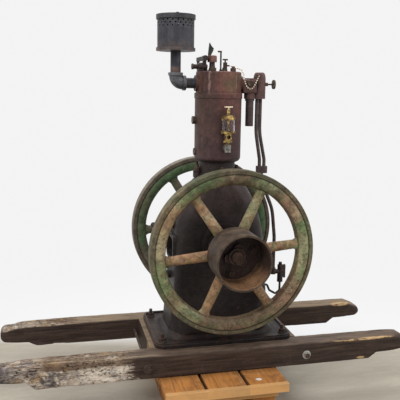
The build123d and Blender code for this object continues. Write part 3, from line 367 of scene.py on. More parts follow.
# Painted light and shade across the head, from its left to its right: factors on its colour
HEAD_LIGHT_AND_SHADE = [(0.15, (0.62, 0.60, 0.66)), (0.38, (1.45, 1.35, 1.36)), (0.6, (1.3, 1.2, 1.15)),
               (0.9, (1.1, 1.1, 0.98))]


def cylinder_tint(g, colour):
    axes = g.axes()
    left = g.band(axes["X"], -0.03, -0.085)
    colour = g.lay(colour, (0.085, 0.060, 0.045), left, 0.45)
    streaks = g.grain((70, 70, 5), 5, 0.7)
    colour = g.lay(colour, (0.040, 0.024, 0.021), g.band(streaks, 0.48, 0.7), 0.55)
    low = g.band(axes["Z"], SKID_TOP + 0.84, SKID_TOP + 0.72)
    colour = g.lay(colour, (0.066, 0.042, 0.045), low, 0.5)
    # the brighter red-brown in the middle of the jacket's upper part is its paint tone with a painted sheen
    red = g.times(g.band(axes["Z"], SKID_TOP + 0.76, SKID_TOP + 0.88), g.band(axes["X"], -0.03, 0.03))
    red = g.times(red, g.plus(0.35, g.times(patch(g, 14, (6, 3, 3), 0.4, 0.6), 0.45)))
    colour = g.lay(colour, (0.175, 0.068, 0.055), red)
    mixer = g.band(axes["X"], 0.095, 0.102)
    colour = g.lay(colour, (0.115, 0.082, 0.080), mixer, 0.45)
    head = g.times(g.band(axes["Z"], SKID_TOP + 0.935, SKID_TOP + 0.955), g.math("SUBTRACT", 1.0, mixer))
    # painted light and shade: the head is darkened at its left and brightened left of its middle
    painted_head_shading = g.ramp(g.times(g.plus(axes["X"], 0.1), 5.0), HEAD_LIGHT_AND_SHADE)
    colour = g.vector("MULTIPLY", colour, g.mix(head, (1, 1, 1), painted_head_shading))
    runs = g.grain((55, 55, 7), 5, 0.7, (8, 2, 4), twist=0.4)
    colour = g.lay(colour, (0.185, 0.085, 0.062), head, g.band(runs, 0.42, 0.6), 0.7)
    green = g.band(g.vector("LENGTH", g.vector("SUBTRACT", g.place, HEAD_STAIN)), 0.055, 0.015)
    colour = g.lay(colour, (0.13, 0.125, 0.06), green, g.times(patch(g, 25, (1, 1, 1), 0.35, 0.6), 0.7))
    for place, half in HEAD_RIDGES:
        away = g.math("ABSOLUTE", g.math("SUBTRACT", axes["X"], place))
        ridge = g.times(g.band(away, half, half * 0.5), g.times(head, g.band(g.noise(50, 5), 0.4, 0.5)))
        # pale lines down the ridges: wear and a painted highlight
        colour = g.lay(colour, (0.36, 0.23, 0.20), ridge, 0.75)
    # the neck below the jacket is made near black
    dark_neck = g.band(axes["Z"], SKID_TOP + 0.702, SKID_TOP + 0.69)
    return g.lay(colour, (0.018, 0.014, 0.013), dark_neck, 0.9)


def cylinder_finish():
    palette = [(0.3, (0.052, 0.026, 0.023)), (0.5, (0.094, 0.045, 0.040)), (0.62, (0.128, 0.062, 0.055)),
               (0.78, (0.155, 0.086, 0.073))]
    return iron("cylinder iron", palette, specks=((0.035, 0.021, 0.019), (0.19, 0.125, 0.105)),
                dirt_and_shade=(0.022, 0.014, 0.013), wear=(0.23, 0.15, 0.12), rough=(0.36, 0.6), grain=0.9, spread=8.0,
                tint=cylinder_tint, mottle=0.28, specular=0.2)


def valve_cap_finish():
    palette = [(0.3, (0.10, 0.05, 0.04)), (0.5, (0.19, 0.095, 0.078)), (0.75, (0.30, 0.16, 0.13))]
    return iron("valve cap iron", palette, specks=((0.05, 0.026, 0.022), (0.36, 0.24, 0.2)),
                dirt_and_shade=(0.03, 0.018, 0.016), wear=(0.32, 0.2, 0.16), rough=(0.4, 0.6), grain=0.6, spread=30.0)


def dark_fitting_finish():
    palette = [(0.3, (0.016, 0.013, 0.013)), (0.5, (0.040, 0.026, 0.024)), (0.75, (0.075, 0.045, 0.038))]
    return iron("dark fitting iron", palette, specks=((0.014, 0.011, 0.01), (0.13, 0.09, 0.075)),
                dirt_and_shade=(0.01, 0.008, 0.008), wear=(0.16, 0.10, 0.08), rough=(0.35, 0.6), grain=0.8, spread=22.0,
                mottle=0.45)


def rusty_steel_finish():
    palette = [(0.3, (0.035, 0.022, 0.017)), (0.5, (0.08, 0.042, 0.03)), (0.75, (0.13, 0.08, 0.06))]
    return iron("rusty steel", palette, specks=((0.03, 0.018, 0.013), (0.22, 0.16, 0.12)),
                dirt_and_shade=(0.018, 0.012, 0.01), wear=(0.24, 0.18, 0.14), rough=(0.4, 0.7), grain=0.7, spread=25.0,
                metal=0.2)


def trip_finish():
    palette = [(0.3, (0.014, 0.016, 0.014)), (0.55, (0.030, 0.036, 0.030)), (0.75, (0.055, 0.052, 0.042))]
    return iron("trip lever iron", palette, specks=((0.012, 0.011, 0.01), (0.12, 0.11, 0.09)),
                dirt_and_shade=(0.01, 0.009, 0.008), wear=(0.13, 0.11, 0.09), rough=(0.4, 0.6), grain=0.7, spread=30.0)


def pipe_finish():
    def stained(g, colour):
        z = g.axes()["Z"]
        scorched = g.times(g.band(z, SKID_TOP + 1.045, SKID_TOP + 1.035), g.band(g.axes()["X"], -0.11, -0.14))
        colour = g.lay(colour, (0.20, 0.115, 0.08), scorched, 0.5)
        brown = g.band(g.axes()["X"], 0.08, 0.1)
        colour = g.lay(colour, (0.088, 0.054, 0.047), brown, 0.75)
        return g.lay(colour, (0.035, 0.025, 0.023), g.band(z, SKID_TOP + 0.5, SKID_TOP + 0.3), g.times(brown, 0.6))
    palette = [(0.3, (0.022, 0.023, 0.032)), (0.5, (0.040, 0.040, 0.054)), (0.7, (0.088, 0.084, 0.096))]
    return iron("pipe iron", palette, specks=((0.02, 0.016, 0.016), (0.20, 0.17, 0.155)),
                dirt_and_shade=(0.014, 0.012, 0.012), wear=(0.22, 0.18, 0.16), rough=(0.35, 0.6), grain=0.7, spread=14.0,
                tint=stained, mottle=0.4)


def elbow_finish():
    def rusty_ring(g, colour):
        ring = g.band(g.axes()["Z"], SKID_TOP + 1.016, SKID_TOP + 1.024)
        return g.lay(colour, (0.17, 0.12, 0.10), ring, 0.7)
    palette = [(0.3, (0.07, 0.07, 0.08)), (0.5, (0.135, 0.135, 0.148)), (0.7, (0.23, 0.225, 0.235))]
    return iron("elbow iron", palette, specks=((0.035, 0.03, 0.03), (0.27, 0.26, 0.25)), dirt_and_shade=(0.02, 0.018, 0.02),
                wear=(0.26, 0.25, 0.24), rough=(0.4, 0.6), grain=0.9, spread=14.0, tint=rusty_ring, mottle=0.4)


def muffler_finish():
    def streaked(g, colour):
        runs = g.grain((45, 45, 4), 5, 0.7)
        colour = g.lay(colour, (0.105, 0.10, 0.115), g.band(runs, 0.47, 0.7), 0.6)
        low = g.band(g.axes()["Z"], SKID_TOP + 1.14, SKID_TOP + 1.10)
        rust = g.times(low, g.band(g.noise(30, 5), 0.35, 0.55))
        colour = g.lay(colour, (0.135, 0.095, 0.078), rust, 0.8)
        top = g.band(g.axes()["Z"], SKID_TOP + 1.19, SKID_TOP + 1.215)
        return g.lay(colour, (0.030, 0.028, 0.032), top, 0.55)
    palette = [(0.3, (0.024, 0.025, 0.033)), (0.5, (0.045, 0.047, 0.059)), (0.75, (0.080, 0.080, 0.094))]
    return iron("muffler sheet", palette, specks=((0.02, 0.018, 0.02), (0.16, 0.13, 0.115)),
                dirt_and_shade=(0.015, 0.014, 0.016), wear=(0.18, 0.13, 0.10), rough=(0.4, 0.6), grain=0.45, spread=12.0,
                tint=streaked, mottle=0.35, specular=0.3)


def brass_finish(name, bright, dull, share, rough):
    """Brass with tarnish over a share of it and in its corners."""
    g = new_graph(name)
    tarnish = g.band(g.noise(48, 5, 0.6), 0.62 - share / 2, 0.78 - share / 2)
    cover = g.math("MAXIMUM", tarnish, g.cavity(0.012, 0.6))
    colour = g.mix(cover, bright, dull)
    shine = g.plus(rough, g.times(cover, 0.3))
    normal = g.bump(g.noise(260, 4, 0.6), 0.00008, 0.5)
    return g.surface(colour, shine, g.math("SUBTRACT", 1.0, g.times(cover, 0.4)), normal)


def zinc_finish():
    g = new_graph("dull zinc")
    colour = g.ramp(g.noise(90, 6, 0.7), [(0.4, (0.07, 0.062, 0.055)), (0.62, (0.33, 0.31, 0.27))])
    # painted shade: darker in its hollows, found by ambient occlusion
    colour = g.lay(colour, (0.05, 0.04, 0.035), g.cavity(0.01), 0.7)
    return g.surface(colour, 0.45, 0.6, g.bump(g.noise(260, 5), 0.0003, 0.8))


def chain_finish():
    g = new_graph("nickel beads")
    colour = g.mix(g.band(g.noise(160, 4), 0.4, 0.6), (0.78, 0.68, 0.54), (0.40, 0.31, 0.22))
    return g.surface(colour, 0.4, 0.35)


def glass_finish():
    g = new_graph("oiler glass")
    return g.surface((0.93, 0.86, 0.86), 0.02, 0.0, None, Transmission_Weight=1.0, IOR=1.3)


def pale_wood(g, axes):
    """Bare weathered wood: cream with fine dark cracks, grey stains and a little yellow."""
    colour = g.ramp(g.grain((7, 75, 75), 7, 0.75, twist=0.7),
                    [(0.26, (0.06, 0.042, 0.034)), (0.37, (0.27, 0.19, 0.13)), (0.47, (0.55, 0.44, 0.34)),
                     (0.58, (0.74, 0.65, 0.55)), (0.8, (0.84, 0.79, 0.72))])
    old_end = g.plus(0.30, g.times(g.band(axes["X"], -0.50, -0.66), 0.55))
    colour = g.lay(colour, (0.115, 0.10, 0.12), patch(g, 11, (3, 1, 2), 0.46, 0.60, 1.2), old_end)
    cream = g.times(g.band(axes["X"], -0.60, -0.52), patch(g, 8, (2, 6, 6), 0.34, 0.48))
    colour = g.lay(colour, (0.80, 0.70, 0.59), cream, 0.55)
    dark = spot(g, (-0.645, SKID_LOW.y, SKID_TOP - 0.06), (0.09, 0.05, 0.05), 0.5, 1.1)
    colour = g.lay(colour, (0.055, 0.045, 0.055), dark, patch(g, 26, (8, 1, 2), 0.44, 0.56), 0.75)
    ember = spot(g, (-0.80, SKID_LOW.y, SKID_TOP - 0.075), (0.035, 0.04, 0.02))
    colour = g.lay(colour, (0.24, 0.085, 0.04), ember, 0.7)
    tip = g.times(g.band(axes["X"], -0.68, -0.78), patch(g, 20, (1, 9, 2), 0.36, 0.5))
    colour = g.lay(colour, (0.085, 0.070, 0.075), tip, 0.7)
    rotten = g.band(g.wobbled(axes["Z"], g.noise(16, 5), 0.03), SKID_TOP - 0.030, SKID_TOP - 0.020)
    rotten = g.times(rotten, patch(g, 13, (3, 5, 5), 0.30, 0.46), g.band(axes["X"], -0.76, -0.66))
    colour = g.lay(colour, (0.115, 0.062, 0.032), rotten, 0.85)
    worn = g.times(g.edges(0.007, 3.0), patch(g, 18, (6, 6, 1), 0.36, 0.5))
    colour = g.lay(colour, (0.66, 0.54, 0.40), worn, 0.75)
    colour = g.lay(colour, (0.42, 0.25, 0.075), patch(g, 12, (7, 4, 1), 0.53, 0.64), 0.55)
    rust = spot(g, (-0.335, SKID_LOW.y, SKID_TOP - 0.055), (0.035, 0.03, 0.022))
    colour = g.lay(colour, (0.12, 0.045, 0.025), rust, 0.8)
    pores = g.grain((70, 130, 130), 8, 0.85, (2, 3, 1), twist=0.3)
    pores = g.times(g.band(pores, 0.53, 0.58), patch(g, 9, (4, 4, 1), 0.38, 0.50))
    checks = g.band(g.grain((8, 170, 170), 7, 0.8, (1, 2, 3), twist=0.4), 0.59, 0.64)
    cracks = g.math("MAXIMUM", pores, checks)
    return g.lay(colour, (0.026, 0.018, 0.017), cracks, 0.92), cracks


def old_timber(name, end_x, chips, whole_face):
    """Dark oily timber along X. Left of end_x it is bare and cracked, on all sides or on its top alone."""
    g = new_graph(name)
    axes = g.axes()
    grain = g.grain((5, 95, 95), 7, 0.7, twist=0.6)
    colour = g.ramp(grain, [(0.3, (0.015, 0.010, 0.009)), (0.45, (0.037, 0.023, 0.018)),
                            (0.58, (0.060, 0.039, 0.030)), (0.8, (0.115, 0.080, 0.058))])
    colour = g.lay(colour, (0.072, 0.047, 0.034), patch(g, 9, (1, 6, 2), 0.5, 0.64), 0.45)
    colour = g.lay(colour, (0.12, 0.088, 0.066), g.band(g.noise(150, 6, 0.75), 0.57, 0.68), 0.5)
    up = g.facing_up()
    least, most = (0.36, 0.62) if whole_face else (0.25, 0.50)
    # dust, and painted light, lighten the faces that look up
    dust_and_top_light = g.times(g.band(up, 0.5, 0.9), g.band(g.grain((7, 30, 30), 6, 0.7), least, most))
    colour = g.lay(colour, (0.165, 0.115, 0.08) if whole_face else (0.25, 0.18, 0.115), dust_and_top_light, 0.85)
    worn = g.times(g.edges(0.007, 3.0), patch(g, 16, (5, 1, 3), 0.44, 0.6))
    colour = g.lay(colour, (0.24, 0.165, 0.10), worn, 0.7)
    reach = g.wobbled(axes["X"], g.grain((9, 80, 80), 5, 0.7, twist=0.5), 0.22)
    bare = g.band(reach, end_x + 0.012, end_x - 0.018)
    if not whole_face:
        top = g.wobbled(up, g.noise(14, 5), 0.9)
        bare = g.times(bare, g.times(g.band(top, 0.35, 0.55), 0.85))
    pale, cracks = pale_wood(g, axes)
    colour = g.lay(colour, pale, bare)
    fringe = g.times(g.band(reach, end_x + 0.16, end_x), g.band(up, 0.4, 0.8))
    streak = g.band(g.grain((6, 90, 90), 5, 0.7, (2, 2, 2)), 0.5, 0.6)
    colour = g.lay(colour, (0.42, 0.32, 0.22), fringe, streak, 0.7)
    colour = g.lay(colour, (0.52, 0.34, 0.17), chips(g), 0.9)
    height = g.plus(g.times(grain, 0.7), g.times(cracks, g.times(bare, -1.2)))
    rough = g.plus(0.6, g.times(bare, 0.25))
    return g.surface(colour, rough, 0.0, g.bump(height, 0.0022, 0.9), Specular_IOR_Level=0.2)


# Places where the dark skin of a timber is chipped off
def near_skid_chips(g):
    edge = spot(g, (0.56, SKID_LOW.y, SKID_TOP), (0.16, 0.012, 0.008))
    broken = g.times(edge, g.band(g.grain((20, 60, 60), 5, 0.7), 0.42, 0.52))
    return g.math("MAXIMUM", broken, spot(g, (0.54, SKID_LOW.y, STAND_TOP + 0.010), (0.020, 0.02, 0.006)))


def far_skid_chips(g):
    chip = spot(g, (0.64, 0.165, SKID_TOP), (0.05, 0.022, 0.012))
    return g.times(chip, g.band(g.grain((20, 90, 60), 5, 0.7), 0.36, 0.5))


def cross_timber_chips(g):
    return g.times(spot(g, (-0.29, -0.12, SKID_TOP - 0.04), (0.012, 0.05, 0.05)), 0.55)


# Boards of the deck: from where they are counted, how many to a metre, how far the grain moves from one to the
# next, and the pale spot on one of them
BOARDS_FROM = -0.272
BOARDS_PER_METRE = 6.45
BOARD_SHIFT = {"Y": 1.9, "Z": 3.7}
DECK_SPOT = (0.089, -0.314)


def new_timber(name, lengthwise, pale):
    """Sawn softwood with its grain along Y, or along X where lengthwise is false."""
    g = new_graph(name)
    board = g.math("FLOOR", g.times(g.plus(g.axes()["X"], -BOARDS_FROM), BOARDS_PER_METRE))
    shift = g.node("CombineXYZ")
    for axis, step in BOARD_SHIFT.items():
        g.put(shift.inputs[axis], g.times(board, step))
    moved = g.vector("ADD", g.place, shift.outputs[0])
    slow, fast = ((34, 2.6, 34), (150, 6, 150)) if lengthwise else ((2.6, 34, 34), (6, 150, 150))
    rings = g.noise(1.0, 5, 0.6, g.vector("MULTIPLY", moved, slow), 1.8)
    colour = g.ramp(rings, [(0.3, (0.28, 0.11, 0.028)), (0.42, (0.50, 0.215, 0.062)), (0.52, (0.38, 0.15, 0.040)),
                            (0.64, (0.53, 0.255, 0.09)), (0.78, (0.62, 0.35, 0.15))])
    colour = g.lay(colour, (0.19, 0.078, 0.027), g.band(g.noise(9, 6, 0.7, moved, 0.8), 0.48, 0.58), 0.6)
    glow = g.band(g.noise(5, 5, 0.65, g.vector("ADD", moved, (4, 1, 7)), 0.6), 0.46, 0.58)
    colour = g.lay(colour, (0.64, 0.26, 0.06), glow, 0.55)
    fibres = g.noise(1.0, 6, 0.75, g.vector("MULTIPLY", moved, fast))
    colour = g.lay(colour, (0.14, 0.055, 0.018), g.band(fibres, 0.52, 0.68), 0.6)
    colour = g.lay(colour, (0.66, 0.42, 0.22), g.band(g.noise(140, 5, 0.7), 0.58, 0.7), 0.5)
    if pale:
        colour = g.lay(colour, (0.78, 0.47, 0.20), 0.55)
    worn = g.times(g.edges(0.005), g.band(g.noise(30, 5), 0.35, 0.55))
    colour = g.lay(colour, (0.68, 0.42, 0.20), worn, 0.75)
    # painted shade: darker in the corners and between the boards, found by ambient occlusion
    colour = g.lay(colour, (0.03, 0.016, 0.008), g.cavity(0.04), 0.75)
    colour = g.lay(colour, (0.82, 0.80, 0.74), spot(g, (*DECK_SPOT, STAND_TOP), (0.013, 0.011, 0.01)))
    return g.surface(colour, 0.75, 0.0, g.bump(fibres, 0.0010, 0.8), Specular_IOR_Level=0.25)


def paint(finish, *nodes):
    for name in nodes:
        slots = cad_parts[name].data.materials
        slots.clear()
        slots.append(finish)


def smooth(obj, angle):
    with bpy.context.temp_override(object=obj, active_object=obj, selected_objects=[obj],
                                   selected_editable_objects=[obj]):
        bpy.ops.object.shade_smooth_by_angle(angle=math.radians(angle))


def piece(name, mesh, body, finish, replaced):
    """A piece of the scene's own, in place of a node of the CAD model."""
    obj = bpy.data.objects.new(name, mesh)
    bpy.context.scene.collection.objects.link(obj)
    mesh.materials.append(finish)
    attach(obj, body)
    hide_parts(replaced)
    return obj


def mesh_from(name, bm):
    mesh = bpy.data.meshes.new(name)
    bm.to_mesh(mesh)
    bm.free()
    return mesh


# Old skid timbers: heights of their top and underside, as shares of the height, at shares of the length
NEAR_TOP_SHARES = [(0.0, 0.92), (0.05, 0.955), (0.092, 1.0), (0.985, 1.0), (1.0, 0.90)]
FAR_TOP_SHARES = [(0.0, 0.92), (0.05, 0.955), (0.092, 1.0), (0.965, 1.0), (1.0, 0.76)]
NEAR_LOW_SHARES = [(0.0, 0.37), (0.070, 0.345), (0.092, 0.0), (0.896, 0.0), (0.917, 0.27), (1.0, 0.29)]
FAR_LOW_SHARES = [(0.0, 0.20), (0.070, 0.185), (0.092, 0.0), (0.896, 0.0), (0.917, 0.27), (1.0, 0.29)]
SKID_STEPS = 260
SKID_RING = 56
RING_SQUEEZE = 0.18   # draws the points of a ring together at its corners
NOSE_STEPS = 10
NOSE_ROUND = 23 * MM
CORNER = 7 * MM
CORNER_AT_ENDS = 26 * MM
WORN_SHARE = 0.06     # of the length, at either end, over which the timber is worn rounder
WORN_NARROWER = 0.05
ROT_REACH = 0.12      # from sound to rotten timber, along the skid
# Layers of roughness: how fine against the first, and their height where the timber is sound, and what rot adds
ROUGHNESS = [(1.0, 0.9, 2.4), (0.23, 1.4, 2.4), (2.1, 0.4, 0.9)]
ALONG_FINE, ACROSS_FINE = 9, 45
# Bites out of the edges: depth in millimetres everywhere, and what rot and the worn ends add
EDGE_BITES, ROT_BITES, END_BITES = 4, 16, 9
# Layers of the bites: share, how fine along the skid, how fine round it
BITE_LAYERS = [(1.0, 14, 0.05), (0.6, 55, 0.09)]
BITE_FROM = 0.55         # share of the half width past which an edge can be bitten
MOST_PROUD = 1.5 * MM
RESTING = (0.09, 0.90)   # shares of the length between which nothing stands proud of the underside
UNDERSIDE = -0.7         # upward part of the outward direction, below which a point is on the underside
NOWHERE = -2.0           # a place left of all timbers


def along(shares, where):
    """Value at a place along an ordered list of places and values."""
    for (x0, y0), (x1, y1) in zip(shares, shares[1:]):
        if where <= x1:
            return y0 + (y1 - y0) * (where - x0) / (x1 - x0)
    return shares[-1][1]


def skid_places(low, high):
    """Places of the rings along a skid, closer together round its noses."""
    nose = [NOSE_ROUND * (1 - math.cos(math.pi / 2 * (k + 0.35) / NOSE_STEPS)) for k in range(NOSE_STEPS)]
    span = high - low - 2 * NOSE_ROUND
    middle = [low + NOSE_ROUND + span * k / SKID_STEPS for k in range(SKID_STEPS + 1)]
    return [low + d for d in nose] + middle + [high - d for d in reversed(nose)]


def ring_point(turn, half_y, half_z, corner):
    """Point on a rounded rectangle at an angle from its centre, with its outward direction."""
    c, s = math.cos(turn), math.sin(turn)
    reach = 1 / max(abs(c) / half_y, abs(s) / half_z)
    y, z = c * reach, s * reach
    inner_y = max(half_y - corner, 0)
    inner_z = max(half_z - corner, 0)
    cy = max(-inner_y, min(inner_y, y))
    cz = max(-inner_z, min(inner_z, z))
    out = Vector((y - cy, z - cz))
    if out.length < 1e-9:
        return Vector((y, z)), Vector((c, s))
    if abs(y) > inner_y and abs(z) > inner_z:
        out.normalize()
        return Vector((cy, cz)) + out * corner, out
    return Vector((y, z)), out.normalized()


def skid_mesh(name, node, top_shares, low_shares, decay_to, seed):
    """A worn timber in rings along X, rotten left of decay_to."""
    low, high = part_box(node)
    length, height = high.x - low.x, high.z - low.z
    half_y = (high.y - low.y) / 2
    mid_y = (high.y + low.y) / 2
    bm = bmesh.new()
    rings = []
    for x in skid_places(low.x, high.x):
        share = (x - low.x) / length
        from_end = min(x - low.x, high.x - x)
        inside = max(0.0, NOSE_ROUND - from_end)
        inset = NOSE_ROUND - math.sqrt(max(0.0, NOSE_ROUND ** 2 - inside ** 2))
        top = low.z + height * along(top_shares, share) - inset
        under = low.z + height * along(low_shares, share) + inset
        half_z, mid_z = max((top - under) / 2, 0.5 * MM), (top + under) / 2
        tip = max(0.0, 1 - min(share, 1 - share) / WORN_SHARE)
        corner = min(CORNER + (CORNER_AT_ENDS - CORNER) * tip * tip, half_z * 0.9)
        width = half_y * (1 - WORN_NARROWER * tip) - inset * 0.8
        decay = max(0.0, min(1.0, (decay_to - x) / ROT_REACH))
        fade = min(1.0, from_end / NOSE_ROUND)
        ring = []
        for j in range(SKID_RING):
            turn = 2 * math.pi * (j + 0.5) / SKID_RING
            turn += RING_SQUEEZE * math.sin(4 * turn)
            p, out = ring_point(turn, width, half_z, corner)
            at = Vector((x * ALONG_FINE, (mid_y + p.x) * ACROSS_FINE + seed, (mid_z + p.y) * ACROSS_FINE))
            rough = sum(noise.noise(at * fine) * (sound + rot * decay) * MM for fine, sound, rot in ROUGHNESS)
            crest = abs(out.y) * max(0.0, abs(p.x) / width - BITE_FROM)
            bite = sum(layer * noise.noise(Vector((x * fine, seed, j * round_fine)))
                       for layer, fine, round_fine in BITE_LAYERS)
            rough -= crest * max(0.0, bite) * (ROT_BITES * decay + END_BITES * tip + EDGE_BITES) * MM
            rough = min(rough, MOST_PROUD) * fade
            if RESTING[0] < share < RESTING[1] and out.y < UNDERSIDE:
                rough = min(rough, 0)
            p = p + out * rough
            ring.append(bm.verts.new((x, mid_y + p.x, mid_z + p.y)))
        rings.append(ring)
    for a, b in zip(rings, rings[1:]):
        for j in range(SKID_RING):
            n = (j + 1) % SKID_RING
            bm.faces.new((a[j], a[n], b[n], b[j]))
    bm.faces.new(rings[0])
    bm.faces.new(list(reversed(rings[-1])))
    bmesh.ops.recalc_face_normals(bm, faces=bm.faces)
    return mesh_from(name, bm)


def build_skids():
    near = skid_mesh("near_skid_timber", "near_skid", NEAR_TOP_SHARES, NEAR_LOW_SHARES, decay_to=-0.30, seed=3.0)
    finish = old_timber("near skid timber", end_x=-0.375, chips=near_skid_chips, whole_face=True)
    smooth(piece("near_skid_timber", near, "root", finish, "near_skid"), 50)
    far = skid_mesh("far_skid_timber", "far_skid", FAR_TOP_SHARES, FAR_LOW_SHARES, decay_to=-0.52, seed=11.0)
    finish = old_timber("far skid timber", end_x=-0.55, chips=far_skid_chips, whole_face=False)
    smooth(piece("far_skid_timber", far, "root", finish, "far_skid"), 50)
    paint(old_timber("cross timber", end_x=NOWHERE, chips=cross_timber_chips, whole_face=False), "cross_timbers")


# Perforated muffler shell
HOLE_ROWS = 3
HOLE_COUNT = 22   # in each row
HOLE_RADIUS = 3.3 * MM
HOLE_POINTS = 12
HOLES_FROM_TOP = 14 * MM
PLAIN_BANDS = 6
SHEET = 2 * MM


def perforated_tube(name, centre, radius, low, high):
    """A tube of sheet in rows of cells. Every second cell of the upper rows is a ring of faces round a hole."""
    bm = bmesh.new()
    columns = HOLE_COUNT * 2
    step = 2 * math.pi / columns
    row_high = radius * step
    start = high - HOLES_FROM_TOP - HOLE_ROWS * row_high
    levels = [low] + [low + (start - low) * k / PLAIN_BANDS for k in range(1, PLAIN_BANDS + 1)]
    levels += [start + row_high * k for k in range(1, HOLE_ROWS + 1)] + [high]
    skins = ((radius, False), (radius - SHEET, True))
    verts = {}

    def point(turn, z, r):
        return (centre[0] + r * math.cos(turn), centre[1] + r * math.sin(turn), z)

    def vert(column, level, r):
        key = (column % columns, level, r)
        if key not in verts:
            verts[key] = bm.verts.new(point(key[0] * step, levels[level], r))
        return verts[key]

    def face(points, flip):
        bm.faces.new(list(reversed(points)) if flip else points)

    def holed_cell(i, j):
        middle = (i + 0.5) * step
        z = (levels[j] + levels[j + 1]) / 2
        side_points = HOLE_POINTS // 4
        circles = []
        for r, flip in skins:
            outer = [vert(a, b, r) for a, b in ((i, j), (i + 1, j), (i + 1, j + 1), (i, j + 1))]
            circle = []
            for k in range(HOLE_POINTS):
                turn = 2 * math.pi * (k / HOLE_POINTS) - math.pi * 0.75
                place = point(middle + HOLE_RADIUS * math.cos(turn) / r, z + HOLE_RADIUS * math.sin(turn), r)
                circle.append(bm.verts.new(place))
            for side in range(4):
                first = side * side_points
                arc = circle[first:first + side_points] + [circle[(first + side_points) % HOLE_POINTS]]
                face([outer[side], outer[(side + 1) % 4]] + list(reversed(arc)), flip)
            circles.append(circle)
        outside, inside = circles
        for k in range(HOLE_POINTS):
            n = (k + 1) % HOLE_POINTS
            face((outside[n], outside[k], inside[k], inside[n]), False)

    for j in range(len(levels) - 1):
        row = j - PLAIN_BANDS
        for i in range(columns):
            if 0 <= row < HOLE_ROWS and (i + row) % 2 == 0:
                holed_cell(i, j)
                continue
            for r, flip in skins:
                face([vert(i, j, r), vert(i + 1, j, r), vert(i + 1, j + 1, r), vert(i, j + 1, r)], flip)
    for level, flip in ((0, False), (len(levels) - 1, True)):
        for i in range(columns):
            face([vert(i, level, radius), vert(i, level, radius - SHEET),
                  vert(i + 1, level, radius - SHEET), vert(i + 1, level, radius)], flip)
    bmesh.ops.recalc_face_normals(bm, faces=bm.faces)
    return mesh_from(name, bm)


def build_muffler(finish):
    low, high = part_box("muffler_shell")
    radius = (high.x - low.x) / 2
    centre = ((low.x + high.x) / 2, (low.y + high.y) / 2)
    mesh = perforated_tube("muffler_drum", centre, radius, low.z, high.z)
    smooth(piece("muffler_drum", mesh, "root", finish, "muffler_shell"), 50)
    paint(finish, "muffler_base", "muffler_top")


# Bead chain: its route in millimetres, with heights above the skids
CHAIN_ROUTE = [(43, 0, 1050), (61.5, -21, 1042), (80, -31.5, 1034), (89, -36, 1016), (95, -37, 988),
               (104, -38, 970), (117, -39, 962), (130, -38, 971), (140, -37, 990), (153, -36, 1016)]
BEAD = 2.9 * MM
BEAD_GAP = 9.0 * MM
LINK = 0.7 * MM
CHAIN_SAMPLES = 24   # from one place of the route to the next


def chain_line():
    """Points along a smooth curve through the places of the route."""
    points = [Vector(p) * MM + Vector((0, 0, SKID_TOP)) for p in CHAIN_ROUTE]
    ends = [points[0] * 2 - points[1]] + points + [points[-1] * 2 - points[-2]]
    line = []
    for a, b, c, d in zip(ends, ends[1:], ends[2:], ends[3:]):
        for k in range(CHAIN_SAMPLES):
            t = k / CHAIN_SAMPLES
            line.append(0.5 * ((2 * b) + (c - a) * t + (2 * a - 5 * b + 4 * c - d) * t ** 2
                               + (3 * b - a - 3 * c + d) * t ** 3))
    return line + [points[-1]]


def build_chain():
    line = chain_line()
    bm = bmesh.new()
    beads = [line[0]]
    since = 0.0
    for a, b in zip(line, line[1:]):
        since += (b - a).length
        if since >= BEAD_GAP:
            since -= BEAD_GAP
            beads.append(b)
    for bead in beads:
        bmesh.ops.create_icosphere(bm, subdivisions=2, radius=BEAD, matrix=Matrix.Translation(bead))
    for a, b in zip(beads, beads[1:]):
        turn = (b - a).to_track_quat("Z", "Y").to_matrix().to_4x4()
        bmesh.ops.create_cone(bm, segments=8, radius1=LINK, radius2=LINK, depth=(b - a).length,
                              cap_ends=True, matrix=Matrix.Translation((a + b) / 2) @ turn)
    mesh = mesh_from("bead_chain", bm)
    smooth(piece("bead_chain", mesh, "root", chain_finish(), "plug_chain"), 180)


BRIGHT_WASHER = (0.308, 0, SKID_TOP - 0.046)


def bolt_finish():
    """Rusty steel, with a bright ring on the near side for the right tie bolt's washer."""
    def bright_ring(g, colour):
        away = g.vector("MULTIPLY", g.vector("SUBTRACT", g.place, BRIGHT_WASHER), (1, 0, 1))
        radius = g.vector("LENGTH", away)
        ring = g.times(g.band(radius, 0.0085, 0.0105), g.band(radius, 0.020, 0.019))
        return g.lay(colour, (0.52, 0.50, 0.47), ring, g.band(g.axes()["Y"], -0.2, -0.22))
    palette = [(0.3, (0.03, 0.019, 0.015)), (0.5, (0.065, 0.037, 0.028)), (0.75, (0.11, 0.07, 0.055))]
    return iron("bolt steel", palette, specks=((0.02, 0.014, 0.011), (0.22, 0.17, 0.14)),
                dirt_and_shade=(0.014, 0.01, 0.009), wear=(0.2, 0.15, 0.12), rough=(0.4, 0.7), grain=0.7, spread=30.0,
                tint=bright_ring)


